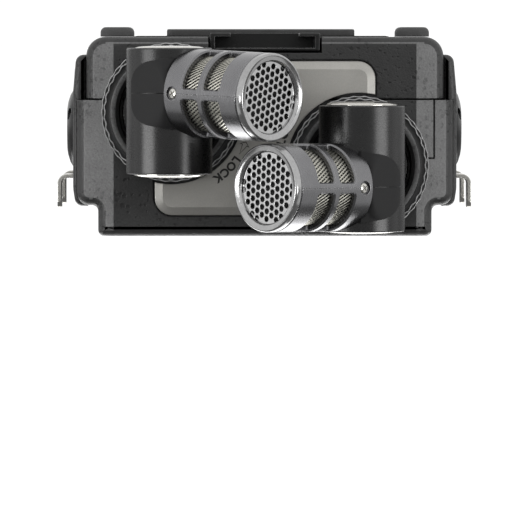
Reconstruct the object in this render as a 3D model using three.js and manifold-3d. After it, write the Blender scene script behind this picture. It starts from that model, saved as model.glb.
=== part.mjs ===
// Portable field recorder with two detachable microphones, as an assembly of separate pieces.
//
// Units are millimetres. The recorder lies on its back: +Z is up, out of the screen, +Y points to
// the microphone end, +X is to the right when the screen is read. The origin is the centre of the
// whole object's footprint, on the plane of the rubber feet.

import * as THREE from 'three';
import { mergeVertices } from 'three/addons/utils/BufferGeometryUtils.js';
import Module from 'manifold-3d';

const wasm = await Module();
wasm.setup();

// ---------------------------------------------------------------- driving dimensions

const GAP = 0.3;                    // clearance between neighbouring pieces
const WALL = 2;                     // moulded case wall

const BODY_LENGTH = 168;            // end face to microphone panel
const MIC_REACH = 39.6;             // microphone panel to the front of the capsules
const END_Y = -(BODY_LENGTH + MIC_REACH) / 2;
const PANEL_Y = END_Y + BODY_LENGTH;

const FRONT_HALF = 35;              // half width of the front case half
const BACK_HALF = 33.1;             // half width of the back case half
const BACK_Z = 1.8;                 // outside of the back case half
const SEAM_Z = 13.5;                // parting line of the two case halves
const SHOULDER_Z = 33;              // step between the case and the display deck
const DECK_Z = 38.7;                // top of the display deck
const DECK_HALF = 30.9;
const DECK_END_Y = -58;             // where the display deck stops and the chin starts
const CHIN_Z = 34.8;                // chin height at the deck
const CHIN_END_Z = 31.2;            // chin height at the end face

const DIAL_Y = END_Y + 13.5;
const DIAL_R = 12.7;
const DIAL_BASE_Z = 30.4;
const DIAL_TOP_Z = 36;
const WELL_FLOOR_Z = 29.9;
const WELL_LIP_Z = 26.9;
const WELL_HALF = 15.6;             // half width of the dial well where it meets the end face

const KEY = { width: 8.5, length: 5.6, radius: 1.6, base: 31.3, proud: 0.45 };
const KEY_PLACES = [
  ['stop_key', -20.9, -65], ['rewind_key', -7, -65], ['forward_key', 7, -65],
  ['play_key', 20.9, -65], ['mark_key', -21.6, -82], ['record_key', 21.6, -82],
];

const LENS = { x: 22.4, width: 1.5, low: 26.9, high: 31.9, depth: 3 };
const STRAP = { inner: 28.7, depth: 7.2, low: 16.7, high: 28, pinX: 31.2, pinR: 0.65, pinDepth: 2.1 };
const COVER = { x: -18.9, half: 6.8, tab: 0.4, low: 13.6, high: 20.3, tabLow: 15.3, tabHigh: 18.4 };
const GRILLE = { x: 12.35, half: 2.95, low: 16.3, high: 18.4 };

const PLATE = { half: 20.4, low: 6.3, high: 34.8, radius: 3.2 };
const MIC_X = 17.35;                // microphone sockets, point-symmetric about MIC_MID_Z
const MIC_MID_Z = 20.6;
const MIC_OFFSET_Z = 4.9;
const RING = { outer: 12.7, inner: 9.4, base: 0.5, top: 5.9, scallops: 36 };
const BARREL = { radius: 7.85, axisY: 15.7, half: 12.8, flangeR: 9, spigotR: 6, footR: 7.4 };
const CAPSULE = { radius: 7.85, bore: 6.9, back: 6.3, front: 26.2, offsetZ: -3.3, rib: 2.1 };
const WINDOW_BANDS = [[10.8, 14.7], [16.2, 20.3]];

const JACK_Z = 19;
const JACK_YS = [PANEL_Y - 21, PANEL_Y - 53];
const JACK = { flangeR: 11.7, half: 10, depth: 18.5, insertR: 7.6, grooveR: 9.7, boreR: 3.3 };
const SIDE_PLATE = { outer: 35.6, inner: 33.6, low: 5.1, high: 33.2, start: PANEL_Y - 4, end: PANEL_Y - 74 };
const LATCH = { z: 27.5, thick: 0.78, outer: 38.85, tip: 33.9, bend: 1.8, width: 6, root: 30 };

const PHONES = { y: -33, z: 20, boreR: 1.8, sleeveR: 3.5 };
const USB = { y: -32, z: 20, half: 4.6, rise: 1.6 };
const SLIDER = { y: -53, z: 22.2, half: 4, rise: 1.8, travel: 2.5 };

const SHOE = { half: 10.2, low: 1.1, high: 4.5, length: 20, slotHalf: 9.3, mouthHalf: 6.4 };
const FOOT = { x: 27.4, half: 3.1, length: 12, y: PANEL_Y - 9.5 };
const TRIPOD = { y: 4, outer: 5.2, bore: 2.7, depth: 8 };
const PAD = { half: 19.25, start: -92, end: -62 };

const CELL = { radius: 7.05, pitch: 14.7, start: -93, length: 50.5, z: 10.15 };
const BAY_END_Y = -38.5;             // inside wall between the battery bay and the electronics
const DOOR_Z = 1.4;
const DOOR_HALF = 33.4;
const DOOR_SWEEP = 10.5;             // how far the door's end curve runs in from the end face

// ---------------------------------------------------------------- materials

const finish = (color, roughness, metalness = 0) =>
  new THREE.MeshStandardMaterial({ color, roughness, metalness });

const MATERIALS = {
  case: finish(0x2a2b2d, 0.62),
  satin: finish(0x1d1d20, 0.4),
  rubber: finish(0x303032, 0.8),
  key: finish(0x3a3a3d, 0.5),
  glass: finish(0x0a0b0d, 0.08),
  board: finish(0x1f4a33, 0.6),
  nickel: finish(0x9a9993, 0.35, 1),
  silver: finish(0xb4b4b6, 0.28, 1),
  chrome: finish(0xd8d8d6, 0.12, 1),
  mesh: finish(0xbdb9a4, 0.4, 1),
  steel: finish(0xcfcdc6, 0.2, 1),
  glossBlack: finish(0x0c0c0d, 0.12),
  grey: finish(0x8c8c90, 0.45),
  red: finish(0xe01818, 0.3),
  cell: finish(0x3c5a78, 0.4),
};

// ---------------------------------------------------------------- solids and booleans

function solid(geometry) {
  const bare = geometry.clone();
  bare.deleteAttribute('normal');
  bare.deleteAttribute('uv');
  const merged = mergeVertices(bare, 1e-4);
  const index = merged.index.array;
  const triangles = [];
  for (let i = 0; i < index.length; i += 3) {
    const [a, b, c] = [index[i], index[i + 1], index[i + 2]];
    if (a !== b && b !== c && c !== a) triangles.push(a, b, c);
  }
  return new wasm.Manifold(new wasm.Mesh({
    numProp: 3,
    vertProperties: Float32Array.from(merged.attributes.position.array),
    triVerts: Uint32Array.from(triangles),
  }));
}

function geometryOf(manifold) {
  const mesh = manifold.getMesh();
  const geometry = new THREE.BufferGeometry();
  geometry.setAttribute('position', new THREE.BufferAttribute(new Float32Array(mesh.vertProperties), 3));
  geometry.setIndex(new THREE.BufferAttribute(new Uint32Array(mesh.triVerts), 1));
  geometry.computeVertexNormals();
  return geometry;
}

const join = (...pieces) => pieces.reduce((whole, piece) => whole.add(piece));
const cut = (body, ...tools) => tools.reduce((rest, tool) => rest.subtract(tool), body);

function box(x0, x1, y0, y1, z0, z1) {
  const geometry = new THREE.BoxGeometry(x1 - x0, y1 - y0, z1 - z0);
  return solid(geometry.translate((x0 + x1) / 2, (y0 + y1) / 2, (z0 + z1) / 2));
}

function outline(points) {
  return new THREE.Shape(points.map(([a, b]) => new THREE.Vector2(a, b)));
}

// A closed outline from the points of its right half, listed from low to high.
function mirrored(points) {
  return outline([...points, ...points.map(([a, b]) => [-a, b]).reverse()]);
}

function roundedRect(a0, a1, b0, b1, radius) {
  const shape = new THREE.Shape();
  shape.moveTo(a0 + radius, b0);
  shape.lineTo(a1 - radius, b0);
  shape.absarc(a1 - radius, b0 + radius, radius, -Math.PI / 2, 0);
  shape.lineTo(a1, b1 - radius);
  shape.absarc(a1 - radius, b1 - radius, radius, 0, Math.PI / 2);
  shape.lineTo(a0 + radius, b1);
  shape.absarc(a0 + radius, b1 - radius, radius, Math.PI / 2, Math.PI);
  shape.lineTo(a0, b0 + radius);
  shape.absarc(a0 + radius, b0 + radius, radius, Math.PI, 1.5 * Math.PI);
  return shape;
}

const extrusion = (shape, depth, curveSegments = 2) =>
  new THREE.ExtrudeGeometry(shape, { depth, bevelEnabled: false, curveSegments });

// Outlines drawn in the X-Y, X-Z and Y-Z planes, swept along the remaining axis.
const sweepZ = (shape, z0, z1) => solid(extrusion(shape, z1 - z0).translate(0, 0, z0));
const sweepY = (shape, y0, y1) =>
  solid(extrusion(shape, y1 - y0).rotateX(Math.PI / 2).translate(0, y1, 0));

function sweepX(shape, x0, x1) {
  const turn = new THREE.Matrix4().makeBasis(
    new THREE.Vector3(0, 1, 0), new THREE.Vector3(0, 0, 1), new THREE.Vector3(1, 0, 0));
  return solid(extrusion(shape, x1 - x0).applyMatrix4(turn).translate(x0, 0, 0));
}

// Solids of revolution from [radius, height] points.
const spin = (profile, segments) =>
  new THREE.LatheGeometry(profile.map(([r, h]) => new THREE.Vector2(r, h)), segments);
const spinY = (profile, x = 0, y = 0, z = 0, segments = 20) =>
  solid(spin(profile, segments).translate(x, y, z));
const spinZ = (profile, x = 0, y = 0, z = 0, segments = 20) =>
  solid(spin(profile, segments).rotateX(Math.PI / 2).translate(x, y, z));
const spinX = (profile, x = 0, y = 0, z = 0, segments = 20) =>
  solid(spin(profile, segments).rotateZ(-Math.PI / 2).translate(x, y, z));

const disc = (radius, h0, h1) => [[0, h0], [radius, h0], [radius, h1], [0, h1]];
const ring = (inner, outer, h0, h1) =>
  [[inner, h0], [outer, h0], [outer, h1], [inner, h1], [inner, h0]];

// ---------------------------------------------------------------- the tree of meshes

const recorder = new THREE.Group();

function addPiece(name, manifold, material, parent = recorder) {
  const mesh = new THREE.Mesh(geometryOf(manifold), material);
  mesh.name = name;
  parent.add(mesh);
  return mesh;
}

// ---------------------------------------------------------------- case

// Height of the chin's surface: level at the deck, falling faster towards the end face.
function chinHeight(y) {
  const along = THREE.MathUtils.clamp((DECK_END_Y - y) / (DECK_END_Y - END_Y), 0, 1);
  return CHIN_Z - (CHIN_Z - CHIN_END_Z) * along ** 2;
}

function chinBlock() {
  const section = mirrored([
    [FRONT_HALF - 0.7, SEAM_Z], [FRONT_HALF - 0.2, SEAM_Z + 0.5], [FRONT_HALF - 0.2, 28.8], [34.2, 30.4],
    [33.2, 31.7], [31.5, 32.7], [30.3, 33.3], [28.2, 34.4], [27, CHIN_Z],
  ]);
  const side = [[DECK_END_Y + 1, SEAM_Z], [DECK_END_Y + 1, CHIN_Z]];
  for (let step = 0; step <= 8; step += 1) {
    const y = DECK_END_Y + (END_Y + 0.8 - DECK_END_Y) * (step / 8);
    side.push([y, chinHeight(y)]);
  }
  side.push([END_Y, CHIN_END_Z - 0.8], [END_Y, SEAM_Z]);
  const plan = roundedRect(-FRONT_HALF, FRONT_HALF, END_Y, DECK_END_Y + 10, 2.5);
  return sweepY(section, END_Y - 1, DECK_END_Y + 0.5)
    .intersect(sweepX(outline(side), -FRONT_HALF - 1, FRONT_HALF + 1))
    .intersect(sweepZ(plan, SEAM_Z - 1, DECK_Z));
}

function deckBlock() {
  const section = mirrored([
    [FRONT_HALF, SEAM_Z], [FRONT_HALF, 30.6], [34.3, 32.2], [32.9, 32.9], [31.9, SHOULDER_Z],
    [31.2, 33.5], [DECK_HALF, 34.4], [DECK_HALF, DECK_Z - 1], [DECK_HALF - 1, DECK_Z],
  ]);
  return sweepY(section, DECK_END_Y, PANEL_Y);
}

// The recess that the dial turns in: a round well that opens through the end face over a lip.
function dialWell() {
  const plan = new THREE.Shape();
  plan.moveTo(WELL_HALF, END_Y - 1);
  plan.lineTo(WELL_HALF, END_Y);
  plan.lineTo(DIAL_R + 0.7, DIAL_Y);
  plan.absarc(0, DIAL_Y, DIAL_R + 0.7, 0, Math.PI);
  plan.lineTo(-WELL_HALF, END_Y);
  plan.lineTo(-WELL_HALF, END_Y - 1);
  const side = outline([
    [END_Y - 1, WELL_LIP_Z], [END_Y, WELL_LIP_Z], [END_Y + 2.5, 28.6], [END_Y + 6, WELL_FLOOR_Z],
    [DIAL_Y + DIAL_R + 2, WELL_FLOOR_Z], [DIAL_Y + DIAL_R + 2, DECK_Z], [END_Y - 1, DECK_Z],
  ]);
  const well = solid(extrusion(plan, 20, 10).translate(0, 0, WELL_LIP_Z - 5));
  const bearing = spinZ(disc(3.3, 0, 12), 0, DIAL_Y, WELL_FLOOR_Z - 11, 24);
  return join(well.intersect(sweepX(side, -20, 20)), bearing);
}

function frontInterior() {
  const inside = FRONT_HALF - WALL;
  const inY = PANEL_Y - 3;
  const behindStrap = END_Y + STRAP.depth + WALL;
  return join(
    box(-inside, inside, -76, inY, SEAM_Z - 1, 31),
    box(-28.9, 28.9, DECK_END_Y + WALL, inY, SEAM_Z, 35.9),
    box(-STRAP.inner + WALL, STRAP.inner - WALL, END_Y + 2.2, -75, SEAM_Z - 1, 24.9),
    box(-inside, inside, behindStrap, -75, SEAM_Z - 1, 24.9),
    box(17.5, inside - 1.5, behindStrap, -75, SEAM_Z, 29.4),
    box(-inside + 1.5, -17.5, behindStrap, -75, SEAM_Z, 29.4),
  );
}

function strapCorner(side) {
  const section = roundedRect(STRAP.inner, FRONT_HALF + 4, STRAP.low, STRAP.high, 1.4);
  const corner = sweepY(section, END_Y - 1, END_Y + STRAP.depth);
  return side > 0 ? corner : corner.mirror([1, 0, 0]);
}

function coverOutline(margin) {
  const { x, half, tab, low, high, tabLow, tabHigh } = COVER;
  return [
    box(x - half - margin, x + half + margin, 0, 1, low - margin, high + margin),
    box(x - half - tab - margin, x + half + tab + margin, 0, 1, tabLow - margin, tabHigh + margin),
  ];
}

const stretchY = (pieces, y0, y1) => join(...pieces).scale([1, y1 - y0, 1]).translate([0, y0, 0]);

function micSocketHoles() {
  const holes = [-1, 1].map((side) =>
    spinY(disc(BARREL.spigotR + GAP, -5, 1), side * MIC_X, PANEL_Y, MIC_MID_Z + side * MIC_OFFSET_Z));
  return join(...holes);
}

const plateOutline = (margin) => roundedRect(
  -PLATE.half - margin, PLATE.half + margin, PLATE.low - margin, PLATE.high + margin, PLATE.radius + margin);
const platePocket = () => sweepY(plateOutline(GAP), PANEL_Y - 1, PANEL_Y + 1);

function sidePlateRoom() {
  const { inner, low, high, start, end } = SIDE_PLATE;
  const room = box(inner - 0.8, 40, end - GAP, start + GAP, low - GAP, high + GAP);
  return join(room, room.mirror([1, 0, 0]));
}

function displayCuts() {
  return join(
    box(-28.9, 28.9, -32.3, PANEL_Y - 3.7, 37.1, DECK_Z + 1),
    box(-25.5, 25.5, -20.5, 56, 35, DECK_Z),
  );
}

function keyCuts() {
  const { width, length, radius, base } = KEY;
  const cuts = KEY_PLACES.map(([, x, y]) => sweepZ(roundedRect(
    x - width / 2 - 0.25, x + width / 2 + 0.25, y - length / 2 - 0.25, y + length / 2 + 0.25,
    radius + 0.25), base - 0.6, DECK_Z));
  return join(...cuts);
}

// A box through the right-hand wall round a point, half as long and as tall as given.
const wallBox = (x0, x1, { y, z }, along, up) => box(x0, x1, y - along, y + along, z - up, z + up);

function portCuts() {
  return join(
    spinX(disc(PHONES.sleeveR + GAP, -5, 5), -FRONT_HALF, PHONES.y, PHONES.z),
    wallBox(30, 40, USB, USB.half + GAP, USB.rise + GAP),
    wallBox(FRONT_HALF - 1.1, 40, SLIDER, SLIDER.half + SLIDER.travel + 1, SLIDER.rise + GAP),
    wallBox(30, 40, SLIDER, SLIDER.travel + 1.5, 0.9),
  );
}

function buildFrontShell() {
  const lensCuts = [-1, 1].map((side) => box(
    side * LENS.x - LENS.width / 2 - 0.2, side * LENS.x + LENS.width / 2 + 0.2,
    END_Y - 1, END_Y + LENS.depth + 0.2, LENS.low - 0.2, LENS.high + 3));
  const grilleCuts = join(
    box(GRILLE.x - GRILLE.half - 0.2, GRILLE.x + GRILLE.half + 0.2, END_Y - 1, END_Y + 0.9,
      GRILLE.low - 0.2, GRILLE.high + 0.2),
    box(GRILLE.x - 2.4, GRILLE.x + 2.4, END_Y, END_Y + 4, GRILLE.low + 0.3, GRILLE.high - 0.3),
  );
  const coverCuts = join(
    stretchY(coverOutline(0.25), END_Y - 1, END_Y + 1.3),
    box(-24.9, -12.9, END_Y, END_Y + 4, 17.9, 20.1),
  );
  const shell = cut(
    join(deckBlock(), chinBlock()),
    frontInterior(), dialWell(), strapCorner(-1), strapCorner(1), ...lensCuts, grilleCuts,
    coverCuts, micSocketHoles(), platePocket(), sidePlateRoom(), displayCuts(), keyCuts(),
    portCuts(),
  );
  addPiece('front_shell', shell, MATERIALS.case);
}

function backSection(half, low, high, radius) {
  const points = [];
  for (let step = 0; step <= 5; step += 1) {
    const angle = (Math.PI / 2) * (step / 5);
    points.push([half - radius + radius * Math.sin(angle), low + radius - radius * Math.cos(angle)]);
  }
  points.push([half, high]);
  return mirrored(points);
}

function buildBackShell() {
  const top = SEAM_Z - GAP;
  const tray = sweepY(backSection(BACK_HALF, BACK_Z, top, 3.6), BAY_END_Y - 1.6, PANEL_Y);
  const inside = box(-BACK_HALF + WALL, BACK_HALF - WALL, BAY_END_Y, PANEL_Y - 3, 6.6, top + 1);
  const jackRoom = box(
    -40, 40, JACK_YS[1] - JACK.half - 0.6, JACK_YS[0] + JACK.half + 0.6, JACK_Z - JACK.half - 0.6, top + 1);
  const deeper = [
    box(-BACK_HALF + 4, BACK_HALF - 4, BAY_END_Y, -3, 3.6, 7),
    box(-BACK_HALF + 4, -12.6, 11, PANEL_Y - 3, 3.6, 7),
    box(12.6, BACK_HALF - 4, 11, PANEL_Y - 3, 3.6, 7),
  ];
  const shoeRoom = box(-SHOE.half - GAP, SHOE.half + GAP, PANEL_Y - SHOE.length - GAP, PANEL_Y + 1, 0,
    SHOE.high + GAP);
  const bushingRoom = spinZ(disc(TRIPOD.outer + 0.25, 0, 12), 0, TRIPOD.y, 0, 24);
  const bulkhead = box(-30.8, 30.8, BAY_END_Y - 1.6, BAY_END_Y, top - 1, 18.15);
  const divider = box(-30.8, 30.8, CELL.start - 1.2, BAY_END_Y - 1, 17.45, 18.15);
  const boss = cut(spinZ(disc(8, 3, 9.6), 0, TRIPOD.y, 0, 24), bushingRoom);
  const shell = join(
    cut(tray, inside, ...deeper, shoeRoom, bushingRoom, jackRoom, micSocketHoles(), platePocket()),
    bulkhead, divider, boss);
  addPiece('back_shell', shell, MATERIALS.case);
}

// The battery door is shaped like a hull: its end sweeps up from the back to the parting line, and
// a flat facet takes each corner off.
function hull(half, low, high, inset) {
  const reach = END_Y + inset;
  const sweepEnd = END_Y + DOOR_SWEEP;
  const rise = high - 2 - low;
  const side = [[BAY_END_Y - 1.9, high], [BAY_END_Y - 1.9, low], [sweepEnd, low]];
  for (let step = 1; step <= 6; step += 1) {
    const angle = (Math.PI / 2) * (step / 6);
    side.push([sweepEnd - (sweepEnd - reach) * Math.sin(angle), low + rise * (1 - Math.cos(angle))]);
  }
  side.push([reach, high]);
  let body = sweepY(backSection(half, low, high, 3.6), END_Y - 1, BAY_END_Y - 1.9)
    .intersect(sweepX(outline(side), -40, 40));
  const facet = new THREE.Vector3(0.53, -0.45, -0.72).normalize();
  const through = facet.dot(new THREE.Vector3(33.2, END_Y, 12.5)) - inset;
  for (const turn of [1, -1]) {
    body = body.trimByPlane([-facet.x * turn, -facet.y, -facet.z], -through);
  }
  return body;
}

function buildBatteryDoor() {
  const outer = hull(DOOR_HALF, DOOR_Z, SEAM_Z - GAP, 0);
  const room = hull(DOOR_HALF - WALL, DOOR_Z + 1.35, SEAM_Z + 5, 2.2);
  const mouth = box(-31, 31, -60, BAY_END_Y, DOOR_Z + 1.35, SEAM_Z + 5);
  addPiece('battery_door', cut(outer, room, mouth), MATERIALS.case);
  const pad = roundedRect(-PAD.half, PAD.half, PAD.start, PAD.end, 1.4);
  addPiece('battery_door_pad', sweepZ(pad, 0, DOOR_Z - 0.05), MATERIALS.rubber);
}

// ---------------------------------------------------------------- screen side

function buildDisplay() {
  addPiece('display_glass',
    sweepZ(roundedRect(-28.6, 28.6, -32, PANEL_Y - 4, 2), 37.4, DECK_Z - 0.15), MATERIALS.glass);
  addPiece('display_panel', box(-26.5, 26.5, -24, 58, 33.2, 35.6), MATERIALS.satin);
  addPiece('main_board', box(-31.5, 31.5, -74, 60, 29.3, 30.6), MATERIALS.board);
}

function buildDial() {
  const body = spinZ([
    [0, DIAL_BASE_Z], [DIAL_R - 0.5, DIAL_BASE_Z], [DIAL_R, DIAL_BASE_Z + 0.7], [DIAL_R, DIAL_TOP_Z - 1],
    [DIAL_R - 1, DIAL_TOP_Z], [DIAL_R - 2.2, DIAL_TOP_Z], [DIAL_R - 3, DIAL_TOP_Z - 0.7],
    [0, DIAL_TOP_Z - 1],
  ], 0, DIAL_Y, 0, 40);
  const shaft = spinZ(disc(3, 24, DIAL_BASE_Z + 1), 0, DIAL_Y, 0, 24);
  addPiece('dial', join(body, shaft), MATERIALS.satin);
}

function buildKeys() {
  const { width, length, radius, base, proud } = KEY;
  for (const [name, x, y] of KEY_PLACES) {
    const top = chinHeight(y) + proud;
    const cap = roundedRect(x - width / 2, x + width / 2, y - length / 2, y + length / 2, radius);
    addPiece(name, sweepZ(cap, base, top), MATERIALS.key);
  }
}

function buildLens(name, side, material) {
  const x = side * LENS.x;
  const profile = outline([
    [END_Y + 0.05, LENS.low], [END_Y + LENS.depth, LENS.low],
    [END_Y + LENS.depth, chinHeight(END_Y + LENS.depth) + 0.1], [END_Y + 0.9, CHIN_END_Z + 0.1],
    [END_Y + 0.05, CHIN_END_Z - 0.7],
  ]);
  addPiece(name, sweepX(profile, x - LENS.width / 2, x + LENS.width / 2), material);
}

// ---------------------------------------------------------------- end face

function buildStrapPin(name, side) {
  const pin = spinZ(disc(STRAP.pinR, STRAP.low - 1, STRAP.high + 1), side * STRAP.pinX,
    END_Y + STRAP.pinDepth, 0, 16);
  return addPiece(name, pin.intersect(box(-50, 50, END_Y, 0, STRAP.low + 0.2, STRAP.high - 0.2)),
    MATERIALS.chrome);
}

function buildEndFace() {
  buildStrapPin('strap_pin_left', -1);
  buildStrapPin('strap_pin_right', 1);
  buildLens('peak_lens', -1, MATERIALS.grey);
  buildLens('record_lens', 1, MATERIALS.red);
  addPiece('speaker_grille',
    box(GRILLE.x - GRILLE.half, GRILLE.x + GRILLE.half, END_Y + 0.2, END_Y + 0.6, GRILLE.low, GRILLE.high),
    MATERIALS.glossBlack);
  addPiece('speaker', join(
    box(4.4, 20.4, END_Y + 4.3, END_Y + 6.2, 13.9, 24.4),
    spinY(disc(4.6, END_Y + 2.5, END_Y + 5), 12.4, 0, 19.1, 24),
  ), MATERIALS.satin);
  addPiece('card_cover', join(
    stretchY(coverOutline(0), END_Y, END_Y + 1),
    box(-24.5, -13.3, END_Y + 0.9, END_Y + 2, 18.2, 19.8),
  ), MATERIALS.rubber);
  addPiece('card_slot', cut(
    box(-25.4, -12.6, END_Y + 2.6, END_Y + 17.5, 18.45, 20.9),
    box(-24.6, -13.4, END_Y + 2, END_Y + 16.5, 18.9, 20.4),
  ), MATERIALS.steel);
}

// ---------------------------------------------------------------- microphones

function scallopedRing() {
  const { outer, inner, base, top, scallops } = RING;
  const rim = [];
  for (let i = 0; i < scallops; i += 1) {
    for (const [part, depth] of [[0, 0], [0.55, 0], [0.78, 0.45]]) {
      const angle = ((i + part) / scallops) * 2 * Math.PI;
      rim.push([(outer - depth) * Math.cos(angle), (outer - depth) * Math.sin(angle)]);
    }
  }
  const body = sweepY(outline(rim), base, top - 0.8);
  const shoulder = spinY([[0, base], [outer - 1.3, base], [outer - 1.3, top], [0, top]]);
  return cut(join(body, shoulder), spinY(disc(inner, base - 1, top + 1)));
}

// Turns a solid built along +Y onto the capsule's axis, level and 45 degrees across the panel.
function alongCapsule(manifold) {
  return manifold.rotate([0, 0, -45]).translate([0, BARREL.axisY, CAPSULE.offsetZ]);
}

// The neck is an oval where it wraps the barrel and round where it meets the silver housing.
function neckBlock() {
  const [from, to] = [-1.2, CAPSULE.back - GAP];
  const geometry = new THREE.CylinderGeometry(1, 1, to - from, 24, 3);
  const position = geometry.attributes.position;
  for (let i = 0; i < position.count; i += 1) {
    const part = position.getY(i) / (to - from) + 0.5;
    position.setX(i, position.getX(i) * THREE.MathUtils.lerp(8.9, 7.7, part));
    position.setZ(i, position.getZ(i) * THREE.MathUtils.lerp(5.1, 7.7, part ** 0.8));
  }
  return alongCapsule(solid(geometry.translate(0, (from + to) / 2, 0)));
}

// The pocket in the barrel that the neck's root fills.
const neckRoom = (from) =>
  alongCapsule(box(-12, 12, from, 20, CAPSULE.offsetZ - 4.9, 8.2));

function barrelBlock(grow) {
  const { radius, half, axisY } = BARREL;
  const r = radius + grow;
  const h = half + grow;
  return spinZ([
    [0, -h], [r - 2.2, -h + 0.2], [r - 0.7, -h + 0.7], [r, -h + 1.6],
    [r, h - 1.6], [r - 0.7, h - 0.7], [r - 2.2, h - 0.2], [0, h],
  ], 0, axisY, 0, 28);
}

function windowCuts() {
  const { radius, rib } = CAPSULE;
  return join(...WINDOW_BANDS.map(([from, to]) => cut(
    spinY(disc(radius + 2, from, to)),
    box(-rib / 2, rib / 2, from - 1, to + 1, -20, 20),
    box(-20, 20, from - 1, to + 1, -rib / 2, rib / 2),
  )));
}

function buildMicrophone(name, side) {
  const unit = new THREE.Group();
  unit.position.set(side * MIC_X, PANEL_Y, MIC_MID_Z + side * MIC_OFFSET_Z);
  unit.rotation.y = side > 0 ? Math.PI : 0;
  recorder.add(unit);
  const { radius, bore, back, front } = CAPSULE;
  const barrel = cut(barrelBlock(0), neckRoom(3));
  const foot = join(
    spinY(disc(BARREL.footR, 4, BARREL.axisY - 5)).subtract(neckRoom(3)),
    spinY(disc(BARREL.flangeR, RING.base, 4.4)), spinY(disc(BARREL.spigotR, -2.6, 1)));
  addPiece(`${name}_body`, join(barrel, foot), MATERIALS.satin, unit);
  const neck = cut(
    neckBlock(), cut(barrelBlock(GAP), neckRoom(3 + GAP)),
    spinY(disc(BARREL.footR + GAP, 4, BARREL.axisY - 4)));
  addPiece(`${name}_neck`, neck, MATERIALS.satin, unit);
  const housing = cut(
    spinY(ring(bore, radius, back, front - 1.6)), windowCuts());
  addPiece(`${name}_housing`, alongCapsule(housing), MATERIALS.silver, unit);
  addPiece(`${name}_screen`, alongCapsule(spinY(ring(6.3, 6.6, back + 0.5, front - 1.8))), MATERIALS.mesh, unit);
  addPiece(`${name}_capsule`, alongCapsule(spinY([
    [0, back + 0.4], [2, back + 0.4], [2, 12], [5.2, 12], [5.2, front - 3], [0, front - 3],
  ])), MATERIALS.satin, unit);
  addPiece(`${name}_grille`, alongCapsule(spinY([
    [0, front - 1.2], [radius, front - 1.2], [radius, front - 0.3], [radius - 0.3, front],
    [6.7, front], [6.4, front - 0.3], [6.4, front - 0.7], [0, front - 0.7],
  ])), MATERIALS.chrome, unit);
}

function buildPanel() {
  const plate = cut(
    sweepY(plateOutline(0), PANEL_Y - 0.7, PANEL_Y + 0.2),
    ...[-1, 1].map((side) => spinY(disc(BARREL.flangeR, -2, 2), side * MIC_X, PANEL_Y,
      MIC_MID_Z + side * MIC_OFFSET_Z)),
  );
  addPiece('top_plate', plate, MATERIALS.nickel);
  for (const [name, side] of [['left', -1], ['right', 1]]) {
    const centre = [side * MIC_X, PANEL_Y, MIC_MID_Z + side * MIC_OFFSET_Z];
    addPiece(`lock_ring_${name}`, scallopedRing().translate(centre), MATERIALS.satin);
    buildMicrophone(`mic_${name}`, side);
  }
}

// ---------------------------------------------------------------- sides

const sided = (manifold, side) => (side > 0 ? manifold : manifold.mirror([1, 0, 0]));

function latchSlot(y) {
  return box(28.3, 40, y - LATCH.width / 2 - GAP, y + LATCH.width / 2 + GAP,
    LATCH.z - GAP, LATCH.z + LATCH.thick + GAP);
}

function buildInputJack(name, side, y) {
  const { flangeR, half, depth, insertR, grooveR, boreR } = JACK;
  const face = SIDE_PLATE.outer;
  const body = join(
    box(face - depth, face - 2, y - half, y + half, JACK_Z - half, JACK_Z + half),
    spinX(disc(flangeR, face - 2.2, face), 0, y, JACK_Z),
  );
  const insert = spinX([
    [0, face - 12], [insertR, face - 12], [insertR, face], [5, face + 0.7], [0, face + 0.9],
  ], 0, y, JACK_Z);
  const jack = cut(
    join(cut(body, spinX(disc(grooveR, face - 11, face + 1), 0, y, JACK_Z)), insert),
    spinX(disc(boreR, face - 16.5, face + 2), 0, y, JACK_Z, 24),
    latchSlot(y),
  );
  addPiece(name, sided(jack, side), MATERIALS.glossBlack);
}

function buildLatch(name, side, y) {
  const { z, thick, outer, tip, bend, width, root } = LATCH;
  const strip = new THREE.Shape();
  strip.moveTo(root, z);
  strip.absarc(outer - bend, z + bend, bend, -Math.PI / 2, 0);
  strip.lineTo(outer, tip - 0.3);
  strip.lineTo(outer - 0.2, tip);
  strip.lineTo(outer - thick + 0.2, tip);
  strip.lineTo(outer - thick, tip - 0.3);
  strip.absarc(outer - bend, z + bend, bend - thick, 0, -Math.PI / 2, true);
  strip.lineTo(root, z + thick);
  addPiece(name, sided(sweepY(strip, y - width / 2, y + width / 2), side), MATERIALS.steel);
}

function buildSidePlate(name, side) {
  const { outer, inner, low, high, start, end } = SIDE_PLATE;
  const section = outline([
    [inner, low], [outer - 1, low], [outer, low + 1.4], [outer, high - 0.8], [outer - 0.9, high],
    [inner, high],
  ]);
  const holes = JACK_YS.map((y) => spinX(disc(JACK.flangeR + GAP, 30, 40), 0, y, JACK_Z));
  addPiece(name, sided(cut(sweepY(section, end, start), ...holes), side), MATERIALS.case);
}

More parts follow.
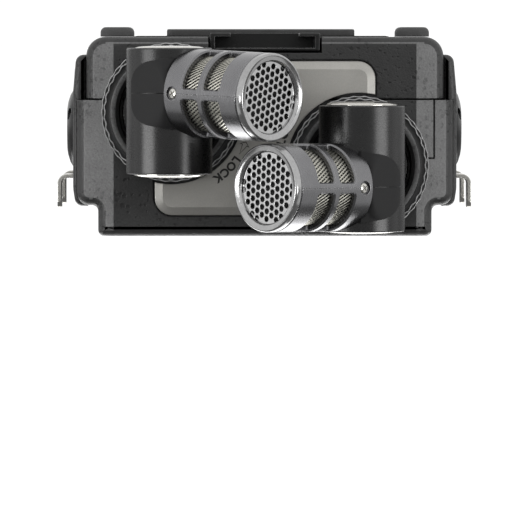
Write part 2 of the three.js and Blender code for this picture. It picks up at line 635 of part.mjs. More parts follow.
function buildSides() {
  for (const [name, side] of [['left', -1], ['right', 1]]) buildSidePlate(`side_plate_${name}`, side);
  const places = [[-1, JACK_YS[0]], [1, JACK_YS[0]], [-1, JACK_YS[1]], [1, JACK_YS[1]]];
  places.forEach(([side, y], i) => {
    buildInputJack(`input_jack_${i + 1}`, side, y);
    buildLatch(`latch_${i + 1}`, side, y);
  });
  addPiece('phones_jack', cut(
    join(
      wallBox(-32.6, -20, PHONES, 4, 4),
      spinX(disc(PHONES.sleeveR, -34.8, -32), 0, PHONES.y, PHONES.z),
    ),
    spinX(disc(PHONES.boreR, -36, -22), 0, PHONES.y, PHONES.z, 16),
  ), MATERIALS.glossBlack);
  addPiece('usb_port', cut(
    wallBox(26, 34.7, USB, USB.half, USB.rise),
    wallBox(27.5, 36, USB, USB.half - 0.5, USB.rise - 0.4),
  ), MATERIALS.steel);
  addPiece('power_slider', join(
    wallBox(34.2, 35.5, SLIDER, SLIDER.half, SLIDER.rise),
    wallBox(31.6, 34.3, SLIDER, 1, 0.6),
  ), MATERIALS.key);
}

// ---------------------------------------------------------------- back

function buildShoe() {
  const { half, low, high, length, slotHalf, mouthHalf } = SHOE;
  const y0 = PANEL_Y - length;
  addPiece('accessory_shoe', cut(
    box(-half, half, y0, PANEL_Y - 0.1, low, high),
    box(-slotHalf, slotHalf, y0 + 1.2, PANEL_Y + 1, low + 0.6, high - 0.6),
    box(-mouthHalf, mouthHalf, y0 + 1.2, PANEL_Y + 1, 0, high - 0.6),
  ), MATERIALS.glossBlack);
}

function buildFeet() {
  const { x, half, length, y } = FOOT;
  for (const [name, side] of [['left', -1], ['right', 1]]) {
    const cx = side * x;
    const foot = roundedRect(cx - half, cx + half, y - length / 2, y + length / 2, 2.2);
    addPiece(`foot_${name}`, sweepZ(foot, 0, BACK_Z - 0.05), MATERIALS.rubber);
  }
}

function buildBack() {
  buildShoe();
  buildFeet();
  addPiece('tripod_bushing',
    spinZ(ring(TRIPOD.bore, TRIPOD.outer, BACK_Z, BACK_Z + TRIPOD.depth - 1.4), 0, TRIPOD.y, 0, 24),
    MATERIALS.steel);
  buildBatteryDoor();
}

function buildBatteries() {
  const end = CELL.start + CELL.length;
  const xs = [-1.5, -0.5, 0.5, 1.5].map((place) => place * CELL.pitch);
  xs.forEach((x, i) => {
    const cell = join(
      spinY(disc(CELL.radius, CELL.start, end - 1), x, 0, CELL.z, 24),
      spinY(disc(2.7, end - 2, end), x, 0, CELL.z, 16),
    );
    addPiece(`battery_${i + 1}`, cell, MATERIALS.cell);
  });
  const springs = xs.map((x) => spinY(disc(3, end + 0.25, end + 1.5), x, 0, CELL.z, 12));
  addPiece('battery_springs',
    join(box(-29.4, 29.4, end + 1.3, BAY_END_Y - 1.9, 3.4, 17.1), ...springs), MATERIALS.steel);
  addPiece('battery_contacts', box(-29.4, 29.4, CELL.start - 0.9, CELL.start - GAP, 7.2, 17.1), MATERIALS.steel);
}

buildFrontShell();
buildBackShell();
buildDisplay();
buildDial();
buildKeys();
buildEndFace();
buildPanel();
buildSides();
buildBack();
buildBatteries();

export default recorder;
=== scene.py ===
"""The look of the portable field recorder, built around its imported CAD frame."""

import math

import bmesh
import bpy
from mathutils import Matrix, Vector


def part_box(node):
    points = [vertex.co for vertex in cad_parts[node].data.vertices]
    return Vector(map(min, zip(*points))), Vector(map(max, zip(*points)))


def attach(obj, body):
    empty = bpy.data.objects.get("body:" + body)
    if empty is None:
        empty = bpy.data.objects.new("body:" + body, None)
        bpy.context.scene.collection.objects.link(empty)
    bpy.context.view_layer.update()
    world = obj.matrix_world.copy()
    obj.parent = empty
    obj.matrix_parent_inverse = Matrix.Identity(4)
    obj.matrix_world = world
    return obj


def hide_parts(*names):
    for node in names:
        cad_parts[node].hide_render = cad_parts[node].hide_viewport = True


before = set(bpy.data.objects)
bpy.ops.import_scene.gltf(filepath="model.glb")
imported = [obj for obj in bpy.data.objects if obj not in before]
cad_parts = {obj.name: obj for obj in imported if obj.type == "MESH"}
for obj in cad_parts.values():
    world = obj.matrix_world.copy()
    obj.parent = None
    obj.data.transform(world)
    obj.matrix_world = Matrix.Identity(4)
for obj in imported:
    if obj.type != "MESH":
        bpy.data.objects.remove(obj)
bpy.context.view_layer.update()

MM = 0.001  # shapes are drawn in millimetres and scaled to metres as each piece is finished
TURN = 2 * math.pi


# ---------------------------------------------------------------- outlines and solids


def rounded(corners, steps=6):
    """An outline from (a, b) or (a, b, radius) corners, with an arc at each corner that has a radius."""
    outline = []
    for index, corner in enumerate(corners):
        here = Vector(corner[:2])
        if len(corner) < 3:
            outline.append(here)
            continue
        back = (Vector(corners[index - 1][:2]) - here).normalized()
        ahead = (Vector(corners[(index + 1) % len(corners)][:2]) - here).normalized()
        half = back.angle(ahead) / 2
        centre = here + (back + ahead).normalized() * corner[2] / math.sin(half)
        spoke = here + back * corner[2] / math.tan(half) - centre
        sign = 1 if back.cross(ahead) < 0 else -1
        outline += [centre + Matrix.Rotation(angle, 2) @ spoke
                    for angle in spread(0, sign * (math.pi - 2 * half), steps)]
    return outline


def rectangle(a0, a1, b0, b1, radius=0, steps=6):
    corners = [(a0, b0), (a1, b0), (a1, b1), (a0, b1)]
    return rounded([(a, b, radius) if radius else (a, b) for a, b in corners], steps)


def mirrored(corners, steps=6):
    """A closed outline from the corners of its right half, listed from low to high."""
    left = [(-corner[0], *corner[1:]) for corner in reversed(corners)]
    return rounded(list(corners) + left, steps)


def inset(outline, distance):
    """The outline moved inwards by distance, corner for corner."""
    if not distance:
        return outline
    area = sum(a.cross(b) for a, b in zip(outline, outline[1:] + outline[:1]))
    inner = []
    for before, here, after in zip(outline[-1:] + outline[:-1], outline, outline[1:] + outline[:1]):
        edges = [(here - before).normalized(), (after - here).normalized()]
        first, second = (Vector((-edge.y, edge.x)) * math.copysign(1, area) for edge in edges)
        inner.append(here + (first + second) * distance / max(0.3, 1 + first.dot(second)))
    return inner


def spread(start, end, steps):
    """Evenly spaced values from start to end, both included."""
    return [start + (end - start) * step / steps for step in range(steps + 1)]


PLACES = {
    "X": lambda a, b, along: (along, a, b),
    "Y": lambda a, b, along: (a, along, b),
    "Z": lambda a, b, along: (a, b, along),
}


def build(verts, faces):
    """A closed solid in millimetres, with its faces pointing out."""
    mesh = bpy.data.meshes.new("solid")
    mesh.from_pydata([tuple(v) for v in verts], [], faces)
    work = bmesh.new()
    work.from_mesh(mesh)
    bmesh.ops.remove_doubles(work, verts=work.verts, dist=1e-5)
    bmesh.ops.recalc_face_normals(work, faces=work.faces)
    work.to_mesh(mesh)
    work.free()
    solid = bpy.data.objects.new("solid", mesh)
    bpy.context.scene.collection.objects.link(solid)
    return solid


def loft(loops, closed=False):
    """A solid through equal loops of points, capped at both ends, or closed back to the first loop."""
    count, rows = len(loops[0]), len(loops)
    faces = []
    for row in range(rows if closed else rows - 1):
        low, high = row * count, (row + 1) % rows * count
        faces += [(low + i, low + (i + 1) % count, high + (i + 1) % count, high + i) for i in range(count)]
    if not closed:
        faces += [tuple(range(count))[::-1], tuple(range((rows - 1) * count, rows * count))]
    return build([point for loop in loops for point in loop], faces)


def prism(outline, axis, low, high, edge=(0, 0), steps=3):
    """An outline swept along an axis, with its two end edges rounded by the radii in edge."""
    levels = []
    for radius, end, sign in ((edge[0], low, 1), (edge[1], high, -1)):
        part = [(0, end)]
        if radius:
            part = [(radius * (1 - math.sin(t)), end + sign * radius * (1 - math.cos(t)))
                    for t in spread(0, math.pi / 2, steps)]
        levels.append(part)
    place = PLACES[axis]
    return loft([[place(a, b, along) for a, b in inset(outline, distance)]
                 for distance, along in levels[0] + levels[1][::-1]])


def box(x0, x1, y0, y1, z0, z1, radius=0):
    """A box, with its vertical edges and end edges rounded if a radius is given."""
    return prism(rectangle(x0, x1, y0, y1, radius), "Z", z0, z1, (radius, radius))


def lathe(profile, axis="Z", at=(0, 0, 0), segments=64):
    """A solid of revolution from (radius, height) points. A profile that ends where it starts is a ring."""
    ring = profile[0] == profile[-1]
    angles = [TURN * i / segments for i in range(segments)]
    place = PLACES[axis]
    loops = [[Vector(place(r * math.cos(t), r * math.sin(t), h)) + Vector(at) for t in angles]
             for r, h in (profile[:-1] if ring else profile)]
    return loft(loops, closed=ring)


def rod(radius, low, high, axis="Z", at=(0, 0, 0), segments=64, edge=0):
    """A cylinder along an axis, with its rims rounded by edge."""
    arc = spread(0, math.pi / 2, 3) if edge else [math.pi / 2]
    lower = [(radius - edge * (1 - math.sin(t)), low + edge * (1 - math.cos(t))) for t in arc]
    upper = [(radius - edge * (1 - math.sin(t)), high - edge * (1 - math.cos(t))) for t in reversed(arc)]
    return lathe([(0, low), *lower, *upper, (0, high)], axis, at, segments)


def combine(base, tools, how):
    for tool in tools:
        modifier = base.modifiers.new("solid", "BOOLEAN")
        modifier.operation, modifier.object, modifier.solver = how, tool, "MANIFOLD"
    graph = bpy.context.evaluated_depsgraph_get()
    mesh = bpy.data.meshes.new_from_object(base.evaluated_get(graph))
    base.modifiers.clear()
    base.data = mesh
    for tool in tools:
        bpy.data.objects.remove(tool)
    return base


def cut(base, *tools):
    return combine(base, tools, "DIFFERENCE")


def join(base, *tools):
    return combine(base, tools, "UNION")


def keep(base, *tools):
    return combine(base, tools, "INTERSECT")


def gather(parts):
    """Several solids that don't overlap, as one mesh."""
    work = bmesh.new()
    for part in parts:
        work.from_mesh(part.data)
    whole = parts[0]
    work.to_mesh(whole.data)
    work.free()
    for part in parts[1:]:
        bpy.data.objects.remove(part)
    return whole


def moved(solid, matrix):
    solid.data.transform(matrix)
    if matrix.determinant() < 0:
        solid.data.flip_normals()
    return solid


def shift(x, y, z):
    return Matrix.Translation((x, y, z))


def copy_of(solid):
    twin = bpy.data.objects.new("solid", solid.data.copy())
    bpy.context.scene.collection.objects.link(twin)
    return twin


MIRROR = Matrix.Diagonal((-1, 1, 1, 1))


def sided(solid, side):
    return solid if side > 0 else moved(solid, MIRROR)


def both_sides(solid):
    return [solid, moved(copy_of(solid), MIRROR)]


def piece(name, solid, material, body, nodes=(), sharp=32):
    """Finishes a solid as a named piece of the object that rides on a body and stands for CAD nodes."""
    solid.name = name
    solid.data.name = name
    solid.data.transform(Matrix.Scale(MM, 4))
    solid.data.materials.clear()
    solid.data.materials.append(material)
    solid.data.polygons.foreach_set("material_index", [0] * len(solid.data.polygons))
    smooth(solid, sharp)
    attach(solid, body)
    if nodes:
        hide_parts(*nodes)
    return solid


def smooth(solid, sharp):
    """Smooth shading broken at sharp edges, with flat faces kept flat."""
    solid.data.polygons.foreach_set("use_smooth", [True] * len(solid.data.polygons))
    solid.data.set_sharp_from_angle(angle=math.radians(sharp))
    weighted = solid.modifiers.new("flat_faces", "WEIGHTED_NORMAL")
    weighted.keep_sharp = True


def lettering(text, height, depth, weight):
    """Plain sans letters as a thin solid in the X-Y plane, height tall, centred on the origin."""
    curve = bpy.data.curves.new("letters", "FONT")
    curve.body = text
    curve.align_x, curve.align_y = "CENTER", "CENTER"
    curve.size = height / 0.7
    curve.offset = weight * height
    curve.extrude = depth / 2
    curve.resolution_u = 3
    writer = bpy.data.objects.new("letters", curve)
    bpy.context.scene.collection.objects.link(writer)
    bpy.context.view_layer.update()
    graph = bpy.context.evaluated_depsgraph_get()
    mesh = bpy.data.meshes.new_from_object(writer.evaluated_get(graph))
    bpy.data.objects.remove(writer)
    solid = bpy.data.objects.new("letters", mesh)
    bpy.context.scene.collection.objects.link(solid)
    return solid


# ---------------------------------------------------------------- materials


def node(tree, kind, inputs=None, **settings):
    made = tree.nodes.new(kind)
    for key, value in settings.items():
        setattr(made, key, value)
    for key, value in (inputs or {}).items():
        if isinstance(value, bpy.types.NodeSocket):
            tree.links.new(value, made.inputs[key])
        else:
            made.inputs[key].default_value = value
    return made


def grey(value, tint=(1, 1, 1)):
    return (*(value * part for part in tint), 1)


def ranged(tree, value, low, high, first=0.0, last=1.0):
    """A value mapped from low and high to first and last."""
    return node(tree, "ShaderNodeMapRange", {"Value": value, "From Min": low, "From Max": high,
                                             "To Min": first, "To Max": last}).outputs["Result"]


def mixed(tree, factor, first, second, kind="RGBA"):
    return node(tree, "ShaderNodeMix", {"Factor": factor, "A": first, "B": second},
                data_type=kind).outputs["Result"]


def worked_out(tree, operation, first, second):
    return node(tree, "ShaderNodeMath", {0: first, 1: second}, operation=operation).outputs[0]


def noise(tree, where, size, detail, rough=0.5):
    """Noise whose grains are about size millimetres."""
    return node(tree, "ShaderNodeTexNoise", {
        "Vector": where, "Scale": 1 / (size * MM), "Detail": detail, "Roughness": rough})


BLEND_RANGE = (0.7, 1.3)        # of fine and broad noise added together, from the dark shade to the light
SPECK_RANGE = (0.8, 0.66)       # of a cell's distance and broad noise, from no speck to a full one
SPECK_PITCH, SPECK_BEND = 1.15, 0.0006
EDGE_RANGE = (0.985, 0.8)       # of the cosine between the rounded and the flat normal, from bare to lightened: partly rubbed wear, partly a painted edge highlight
COAT_ROUGHNESS = 0.08


def surface(name, dark, light, rough, grain, height, metallic=0.0, specular=0.5, coat=0.0, edge=0.15,
            edge_wear_and_sheen=None, wear_and_sheen=0.25, stretch=(1, 1, 1), blotch=7.0, specks=0.0, aniso=0.0, glow=None):
    """A material whose colour, roughness and relief all vary: grain is its grain's size and height its
    depth, blotch the size of its slow stains and edge the rounding of its edges, in millimetres."""
    material = bpy.data.materials.new(name)
    material.use_nodes = True
    tree = material.node_tree
    shader = tree.nodes["Principled BSDF"]
    where = node(tree, "ShaderNodeTexCoord").outputs["Object"]
    drawn = node(tree, "ShaderNodeMapping", {"Vector": where, "Scale": stretch}).outputs["Vector"]
    fine = noise(tree, drawn, grain, 3.0, 0.6).outputs["Fac"]
    broad = noise(tree, where, blotch, 4.0, 0.55).outputs["Fac"]
    blend = worked_out(tree, "ADD", fine, broad)
    colour = mixed(tree, ranged(tree, blend, *BLEND_RANGE), dark, light)
    relief = fine
    if specks:
        bent = mixed(tree, SPECK_BEND, where, noise(tree, where, 0.5, 1.0).outputs["Color"], "VECTOR")
        cells = node(tree, "ShaderNodeTexVoronoi", {"Vector": bent, "Scale": 1 / (SPECK_PITCH * MM)})
        spots = worked_out(tree, "ADD", cells.outputs["Distance"], broad)
        pits = ranged(tree, spots, *SPECK_RANGE, 0.0, specks)
        # The pits turn near black as well as dented: painted shade in the dents of the grain.
        colour = mixed(tree, pits, colour, grey(0.001))
        relief = worked_out(tree, "SUBTRACT", fine, pits)
    round_edge = node(tree, "ShaderNodeBevel", {"Radius": edge * MM}, samples=4).outputs["Normal"]
    # Rounded edges turn toward the lighter edge colour: partly rubbed wear, partly a painted edge highlight.
    if edge_wear_and_sheen:
        flat = node(tree, "ShaderNodeNewGeometry").outputs["Normal"]
        along = node(tree, "ShaderNodeVectorMath", {0: round_edge, 1: flat}, operation="DOT_PRODUCT")
        turned = ranged(tree, along.outputs["Value"], *EDGE_RANGE, 0.0, wear_and_sheen)
        colour = mixed(tree, worked_out(tree, "MULTIPLY", turned, blend), colour, edge_wear_and_sheen)
    tree.links.new(colour, shader.inputs["Base Color"])
    tree.links.new(ranged(tree, blend, *BLEND_RANGE, *rough), shader.inputs["Roughness"])
    bump = node(tree, "ShaderNodeBump", {
        "Height": relief, "Distance": height * MM, "Strength": 1.0, "Normal": round_edge})
    tree.links.new(bump.outputs["Normal"], shader.inputs["Normal"])
    shader.inputs["Metallic"].default_value = metallic
    shader.inputs["Specular IOR Level"].default_value = specular
    shader.inputs["Coat Weight"].default_value = coat
    shader.inputs["Coat Roughness"].default_value = COAT_ROUGHNESS
    shader.inputs["Anisotropic"].default_value = aniso
    if glow:
        shader.inputs["Emission Color"].default_value = glow[0]
        shader.inputs["Emission Strength"].default_value = glow[1]
    return material


COOL = (0.99, 0.985, 1.015)
WARM = (1.0, 0.98, 0.92)
CASE = surface("case_plastic", grey(0.010), grey(0.027), (0.33, 0.48), 0.34, 0.06, edge=0.3,
               edge_wear_and_sheen=grey(0.09), specks=0.85, blotch=9)
# Paler case plastic: a painted highlight on the panel's bent side bands, on its faintest rounding and on the
# lock rings' bevels.
CASE_HIGHLIGHT = surface("case_painted_highlight_plastic", grey(0.065), grey(0.165), (0.36, 0.46), 0.34, 0.05, edge=0.2,
                    specks=0.4, blotch=9)
DOOR = surface("door_plastic", grey(0.015), grey(0.028), (0.42, 0.56), 0.4, 0.03, edge=0.25,
               edge_wear_and_sheen=grey(0.08), specks=0.4, blotch=11)
SATIN = surface("satin_plastic", grey(0.003, COOL), grey(0.007, COOL), (0.24, 0.31), 0.16, 0.004, edge=0.2,
                edge_wear_and_sheen=grey(0.04), blotch=6)
NECK = surface("neck_plastic", grey(0.011, COOL), grey(0.018, COOL), (0.55, 0.65), 0.2, 0.008, edge=0.12,
               edge_wear_and_sheen=grey(0.04), specular=0.25, blotch=5)
# Its paler edge colour is a painted highlight on the knurl edges.
KNURL = surface("knurl_plastic", grey(0.012), grey(0.022), (0.34, 0.46), 0.2, 0.01, edge=0.1,
                edge_wear_and_sheen=grey(0.14), wear_and_sheen=0.6, blotch=5)
# Pale lines along the lock rings' scalloped crests: painted highlights.
CREST_HIGHLIGHT = surface("painted_crest_highlight_plastic", grey(0.25), grey(0.6), (0.3, 0.42), 0.5, 0.006, edge=0.06, blotch=0.8)
DIAL = surface("dial_plastic", grey(0.012), grey(0.022), (0.3, 0.42), 0.22, 0.008, edge=0.08,
               edge_wear_and_sheen=grey(0.1), wear_and_sheen=0.4, blotch=5)
KEYS = surface("key_plastic", grey(0.03), grey(0.05), (0.42, 0.55), 0.24, 0.012, edge=0.15,
               edge_wear_and_sheen=grey(0.12), blotch=4)
RED_KEY = surface("red_key_plastic", (0.35, 0.008, 0.008, 1), (0.5, 0.015, 0.012, 1), (0.38, 0.5), 0.24,
                  0.01, edge=0.15, blotch=3)
# Its pale edge colour on near-black gloss is a painted highlight along the edges.
GLOSS = surface("gloss_plastic", grey(0.004), grey(0.008), (0.26, 0.38), 0.5, 0.004, edge=0.15,
                edge_wear_and_sheen=grey(0.4), wear_and_sheen=0.7, specular=0.3, blotch=6)
RUBBER = surface("rubber", grey(0.035), grey(0.06), (0.6, 0.75), 0.3, 0.02, edge=0.3,
                 edge_wear_and_sheen=grey(0.07), blotch=5)
COVER = surface("cover_rubber", grey(0.05), grey(0.075), (0.55, 0.68), 0.28, 0.015, edge=0.25,
                edge_wear_and_sheen=grey(0.09), blotch=6)
GLASS = surface("display_glass", grey(0.003, COOL), grey(0.006, COOL), (0.04, 0.09), 2.0, 0.0008, edge=0.2,
                blotch=20)
SCREEN = surface("screen_area", grey(0.010, COOL), grey(0.014, COOL), (0.12, 0.18), 0.3, 0.0005, edge=0.05,
                 blotch=15)
BOARD = surface("circuit_board", (0.01, 0.05, 0.025, 1), (0.02, 0.09, 0.045, 1), (0.35, 0.5), 0.8, 0.01,
                blotch=4)
NICKEL = surface("nickel_plate", grey(0.34, WARM), grey(0.44, WARM), (0.32, 0.42), 0.18, 0.006, metallic=0.7,
                 edge=0.2, edge_wear_and_sheen=grey(0.8, WARM), wear_and_sheen=0.4, blotch=9)
SILVER = surface("silver_metal", grey(0.17, COOL), grey(0.22, COOL), (0.24, 0.31), 0.16, 0.002, metallic=1.0,
                 edge=0.12, edge_wear_and_sheen=grey(0.8), wear_and_sheen=0.5, stretch=(1, 1, 0.12), blotch=8, aniso=0.2)
CHROME = surface("chrome", grey(0.5), grey(0.58), (0.1, 0.18), 0.6, 0.0015, metallic=1.0, edge=0.12,
                 blotch=4)
RING = surface("ring_metal", grey(0.34), grey(0.42), (0.14, 0.22), 0.6, 0.0015, metallic=1.0, edge=0.12,
               edge_wear_and_sheen=grey(0.7), wear_and_sheen=0.6, blotch=4)
WIRE = surface("wire_mesh", grey(0.46, (1.0, 0.98, 0.86)), grey(0.6, (1.0, 0.98, 0.88)), (0.3, 0.42), 0.3,
               0.004, metallic=1.0, edge=0.02, blotch=2)
STEEL = surface("polished_steel", grey(0.5, WARM), grey(0.62, WARM), (0.14, 0.22), 0.8, 0.0012, metallic=1.0,
                edge=0.12, edge_wear_and_sheen=grey(0.9), wear_and_sheen=0.3, blotch=4)
GREY_LENS = surface("grey_lens", grey(0.30), grey(0.36), (0.2, 0.3), 0.4, 0.003, coat=0.4, blotch=3)
RED_LENS = surface("red_lens", (0.5, 0.01, 0.012, 1), (0.7, 0.03, 0.03, 1), (0.2, 0.3), 0.4, 0.003, coat=0.4,
                   blotch=2, glow=((1.0, 0.03, 0.04, 1), 2.2))
PRINT = surface("white_print", grey(0.62), grey(0.75), (0.45, 0.6), 0.25, 0.003, edge=0.02, blotch=2)
# Dark colour for the plate's engraved LOCK marks and arrows: painted shade of their grooves.
ENGRAVING_SHADE = surface("engraving_painted_shade", grey(0.008), grey(0.014), (0.45, 0.6), 0.2, 0.003, edge=0.02, blotch=2)
CELL = surface("cell_wrap", (0.03, 0.06, 0.12, 1), (0.05, 0.09, 0.17, 1), (0.25, 0.35), 0.6, 0.004, coat=0.3,
               blotch=8)
HOLLOW = surface("dark_inside", grey(0.003), grey(0.006), (0.6, 0.8), 0.4, 0.01, edge=0.05, blotch=5)


# ---------------------------------------------------------------- places, from the frame


def span(node_name):
    low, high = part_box(node_name)
    return low / MM, high / MM


def centre_of(node_name):
    low, high = span(node_name)
    return (low + high) / 2


CASE_LOW, CASE_HIGH = span("front_shell")
END_Y, PANEL_Y = CASE_LOW.y, CASE_HIGH.y
FRONT_HALF, SEAM_Z, DECK_Z = CASE_HIGH.x, CASE_LOW.z, CASE_HIGH.z
BACK_LOW, BACK_HIGH = span("back_shell")
BACK_HALF, BACK_Z = BACK_HIGH.x, BACK_LOW.z
DECK_END_Y = -58
DECK_HALF = 30.9
SHOULDER_Z = 33
CHIN_Z, CHIN_END_Z = 34.8, 31.2
WALL = 2
GAP, FIT = 0.3, 0.2                # the clearances of large parts and of small trim
BAY_END_Y = -38.5
BEND_X, BEND_SLOPE = 28, 0.36      # the microphone panel's side bands fall back from here, this steeply
BEND_DEPTH = 3.5                   # how far behind the panel's face the bend reaches
DIAL_LOW, DIAL_HIGH = span("dial")
DIAL_Y, DIAL_R = (DIAL_LOW.y + DIAL_HIGH.y) / 2, DIAL_HIGH.x
DIAL_RIM_Z = 30.4
WELL_HALF, WELL_FLOOR_Z, WELL_LIP_Z = 15.6, 29.9, 26.9
PLATE_LOW, PLATE_HIGH = span("top_plate")
PLATE_RADIUS = 3.2
UNITS = {side: (sign, centre_of(f"lock_ring_{side}")) for side, sign in (("left", -1), ("right", 1))}
KEY_RADIUS = 1.6
KEY_NAMES = ("stop_key", "rewind_key", "forward_key", "play_key", "mark_key", "record_key")
STRAP_INNER, STRAP_DEPTH = 28.7, 7.2
JACKS = {1: -1, 2: 1, 3: -1, 4: 1}      # each jack's side
JACK_Z = 19
SOCKET_R = 6.3
LATCH_THICK = 0.78
SIDE_LOW, SIDE_HIGH = span("side_plate_right")


def chin_height(y):
    along = min(1, max(0, (DECK_END_Y - y) / (DECK_END_Y - END_Y)))
    return CHIN_Z - (CHIN_Z - CHIN_END_Z) * along**2


def footprint(node_name, margin, radius, steps=6):
    """A node's outline in plan, grown by a margin, with its corners rounded."""
    low, high = span(node_name)
    return rectangle(low.x - margin, high.x + margin, low.y - margin, high.y + margin, radius, steps)


# ---------------------------------------------------------------- case halves


def chin_block():
    half = FRONT_HALF - 0.2
    section = mirrored([(half, SEAM_Z, 0.3), (half, 30.4, 2.6), (31, 33, 3), (27, CHIN_Z, 4)])
    slope = [(y, chin_height(y)) for y in spread(DECK_END_Y, END_Y + 2.5, 14)]
    side = rounded([(DECK_END_Y + 1, SEAM_Z), (DECK_END_Y + 1, CHIN_Z), *slope,
                    (END_Y, CHIN_END_Z, 0.8), (END_Y, SEAM_Z)])
    plan = rectangle(-half, half, END_Y, DECK_END_Y + 10, 2.5)
    return keep(prism(section, "Y", END_Y - 1, DECK_END_Y + 0.5),
                prism(side, "X", -FRONT_HALF - 1, FRONT_HALF + 1), prism(plan, "Z", SEAM_Z, DECK_Z))


def layer(low, high):
    """A slab across the whole case, to cut it off at a level."""
    return box(-40, 40, -70, 70, low, high)


def deck_block():
    section = mirrored([(FRONT_HALF, SEAM_Z - 3), (FRONT_HALF, SHOULDER_Z, 2.4),
                        (DECK_HALF, SHOULDER_Z, 1.1), (DECK_HALF, DECK_Z, 1.15)])
    return cut(prism(section, "Y", DECK_END_Y, PANEL_Y, (0.6, 1.8), 8), layer(0, SEAM_Z))


def dial_well():
    well_r = DIAL_R + 0.7
    arc = [(math.cos(t) * well_r, DIAL_Y + math.sin(t) * well_r) for t in spread(0, math.pi, 32)]
    plan = rounded([(-WELL_HALF, END_Y - 1), (WELL_HALF, END_Y - 1), (WELL_HALF, END_Y), *arc,
                    (-WELL_HALF, END_Y)])
    side = rounded([(END_Y - 1, WELL_LIP_Z), (END_Y, WELL_LIP_Z), (END_Y + 2.5, 28.6, 1.5),
                    (END_Y + 6, WELL_FLOOR_Z, 2), (DIAL_Y + DIAL_R + 2, WELL_FLOOR_Z),
                    (DIAL_Y + DIAL_R + 2, DECK_Z), (END_Y - 1, DECK_Z)])
    well = keep(prism(plan, "Z", WELL_LIP_Z - 5, DECK_Z), prism(side, "X", -20, 20))
    return join(well, rod(3.3, WELL_FLOOR_Z - 11, WELL_FLOOR_Z + 1, "Z", (0, DIAL_Y, 0), 32))


def front_interior():
    """The rooms inside the front half, with a wall left round each."""
    inside, inner_y = FRONT_HALF - WALL, PANEL_Y - 3
    end_room_y, end_room_top, side_room_top = -75, 24.9, 29.4
    behind = END_Y + STRAP_DEPTH + WALL
    return [
        box(-inside, inside, end_room_y - 1, inner_y, SEAM_Z - 1, 31),
        box(-28.9, 28.9, DECK_END_Y + WALL, inner_y, SEAM_Z, 35.9),
        box(-STRAP_INNER + WALL, STRAP_INNER - WALL, END_Y + 2.2, end_room_y, SEAM_Z - 1, end_room_top),
        box(-inside, inside, behind, end_room_y, SEAM_Z - 1, end_room_top),
        box(17.5, inside - 1.5, behind, end_room_y, SEAM_Z, side_room_top),
        box(-inside + 1.5, -17.5, behind, end_room_y, SEAM_Z, side_room_top),
    ]


def strap_corners():
    low, high = span("strap_pin_right")
    corner = prism(rectangle(STRAP_INNER, FRONT_HALF + 4, low.z - 0.2, high.z + 0.2, 1.5), "Y",
                   END_Y - 1, END_Y + STRAP_DEPTH)
    plan = rounded([(STRAP_INNER, END_Y - 1), (STRAP_INNER, END_Y), (STRAP_INNER + 1.1, END_Y + 3, 4),
                    (STRAP_INNER + 4, END_Y + STRAP_DEPTH, 2), (FRONT_HALF + 4, END_Y + STRAP_DEPTH),
                    (FRONT_HALF + 4, END_Y - 1)])
    return both_sides(keep(corner, prism(plan, "Z", low.z - 1, high.z + 1)))


def cover_outline(margin):
    low, high = span("card_cover")
    tab, step_low, step_high = 0.4, 15.3, 18.4
    x0, x1, z0, z1 = low.x - margin, high.x + margin, low.z - margin, high.z + margin
    return rounded([
        (x0 + tab, z0, 0.7), (x1 - tab, z0, 0.7), (x1 - tab, step_low - margin), (x1, step_low - margin),
        (x1, step_high + margin), (x1 - tab, step_high + margin), (x1 - tab, z1, 0.7),
        (x0 + tab, z1, 0.7), (x0 + tab, step_high + margin), (x0, step_high + margin),
        (x0, step_low - margin), (x0 + tab, step_low - margin)], 4)


def socket_holes():
    return [rod(SOCKET_R, -5, 1, "Y", (centre.x, PANEL_Y, centre.z), 48) for _, centre in UNITS.values()]


def plate_outline(margin):
    return rectangle(PLATE_LOW.x - margin, PLATE_HIGH.x + margin, PLATE_LOW.z - margin,
                     PLATE_HIGH.z + margin, PLATE_RADIUS + margin, 8)


def side_rooms():
    return both_sides(box(SIDE_LOW.x - 0.8, 40, SIDE_LOW.y - GAP, SIDE_HIGH.y + GAP,
                          SIDE_LOW.z - GAP, SIDE_HIGH.z + GAP))


def key_cuts():
    return [prism(footprint(name, 0.25, KEY_RADIUS + 0.25), "Z", 30.7, DECK_Z) for name in KEY_NAMES]


def around(x0, x1, at, along, up, radius=0):
    """A block through a side wall round a point, half as long and as tall as given."""
    return prism(rectangle(at.y - along, at.y + along, at.z - up, at.z + up, radius), "X", x0, x1)


def port_cuts():
    phones, usb, slider = (centre_of(name) for name in ("phones_jack", "usb_port", "power_slider"))
    return [
        rod(3.8, -FRONT_HALF - 5, -FRONT_HALF + 5, "X", (0, phones.y, phones.z), 48),
        around(30, 40, usb, 4.9, 1.9, 1.85),
        around(FRONT_HALF - 1.1, 40, slider, 7.5, 2.1, 1.2),
        around(30, 40, slider, 4, 0.9),
    ]


def panel_groove():
    """The thin line of the removable tab beside the right-hand lock ring."""
    x, top, width = 31.3, 24.4, 0.28
    y0, y1 = PANEL_Y - 1.6, PANEL_Y + 1
    return [box(x - width / 2, x + width / 2, y0, y1, SEAM_Z - 1, top),
            box(x - 2.6, x + width / 2, y0, y1, top - width, top)]


def bent_panel(solid):
    """The panel's side bands, which fall back from the flat middle."""
    work = bmesh.new()
    work.from_mesh(solid.data)
    bmesh.ops.triangulate(work, faces=work.faces[:])
    for side in (-1, 1):
        everything = work.verts[:] + work.edges[:] + work.faces[:]
        bmesh.ops.bisect_plane(work, geom=everything, plane_co=(side * BEND_X, 0, 0), plane_no=(1, 0, 0))
    for vert in work.verts:
        if vert.co.y > PANEL_Y - BEND_DEPTH:
            vert.co.y -= max(0, abs(vert.co.x) - BEND_X) * BEND_SLOPE
    work.to_mesh(solid.data)
    work.free()
    return solid


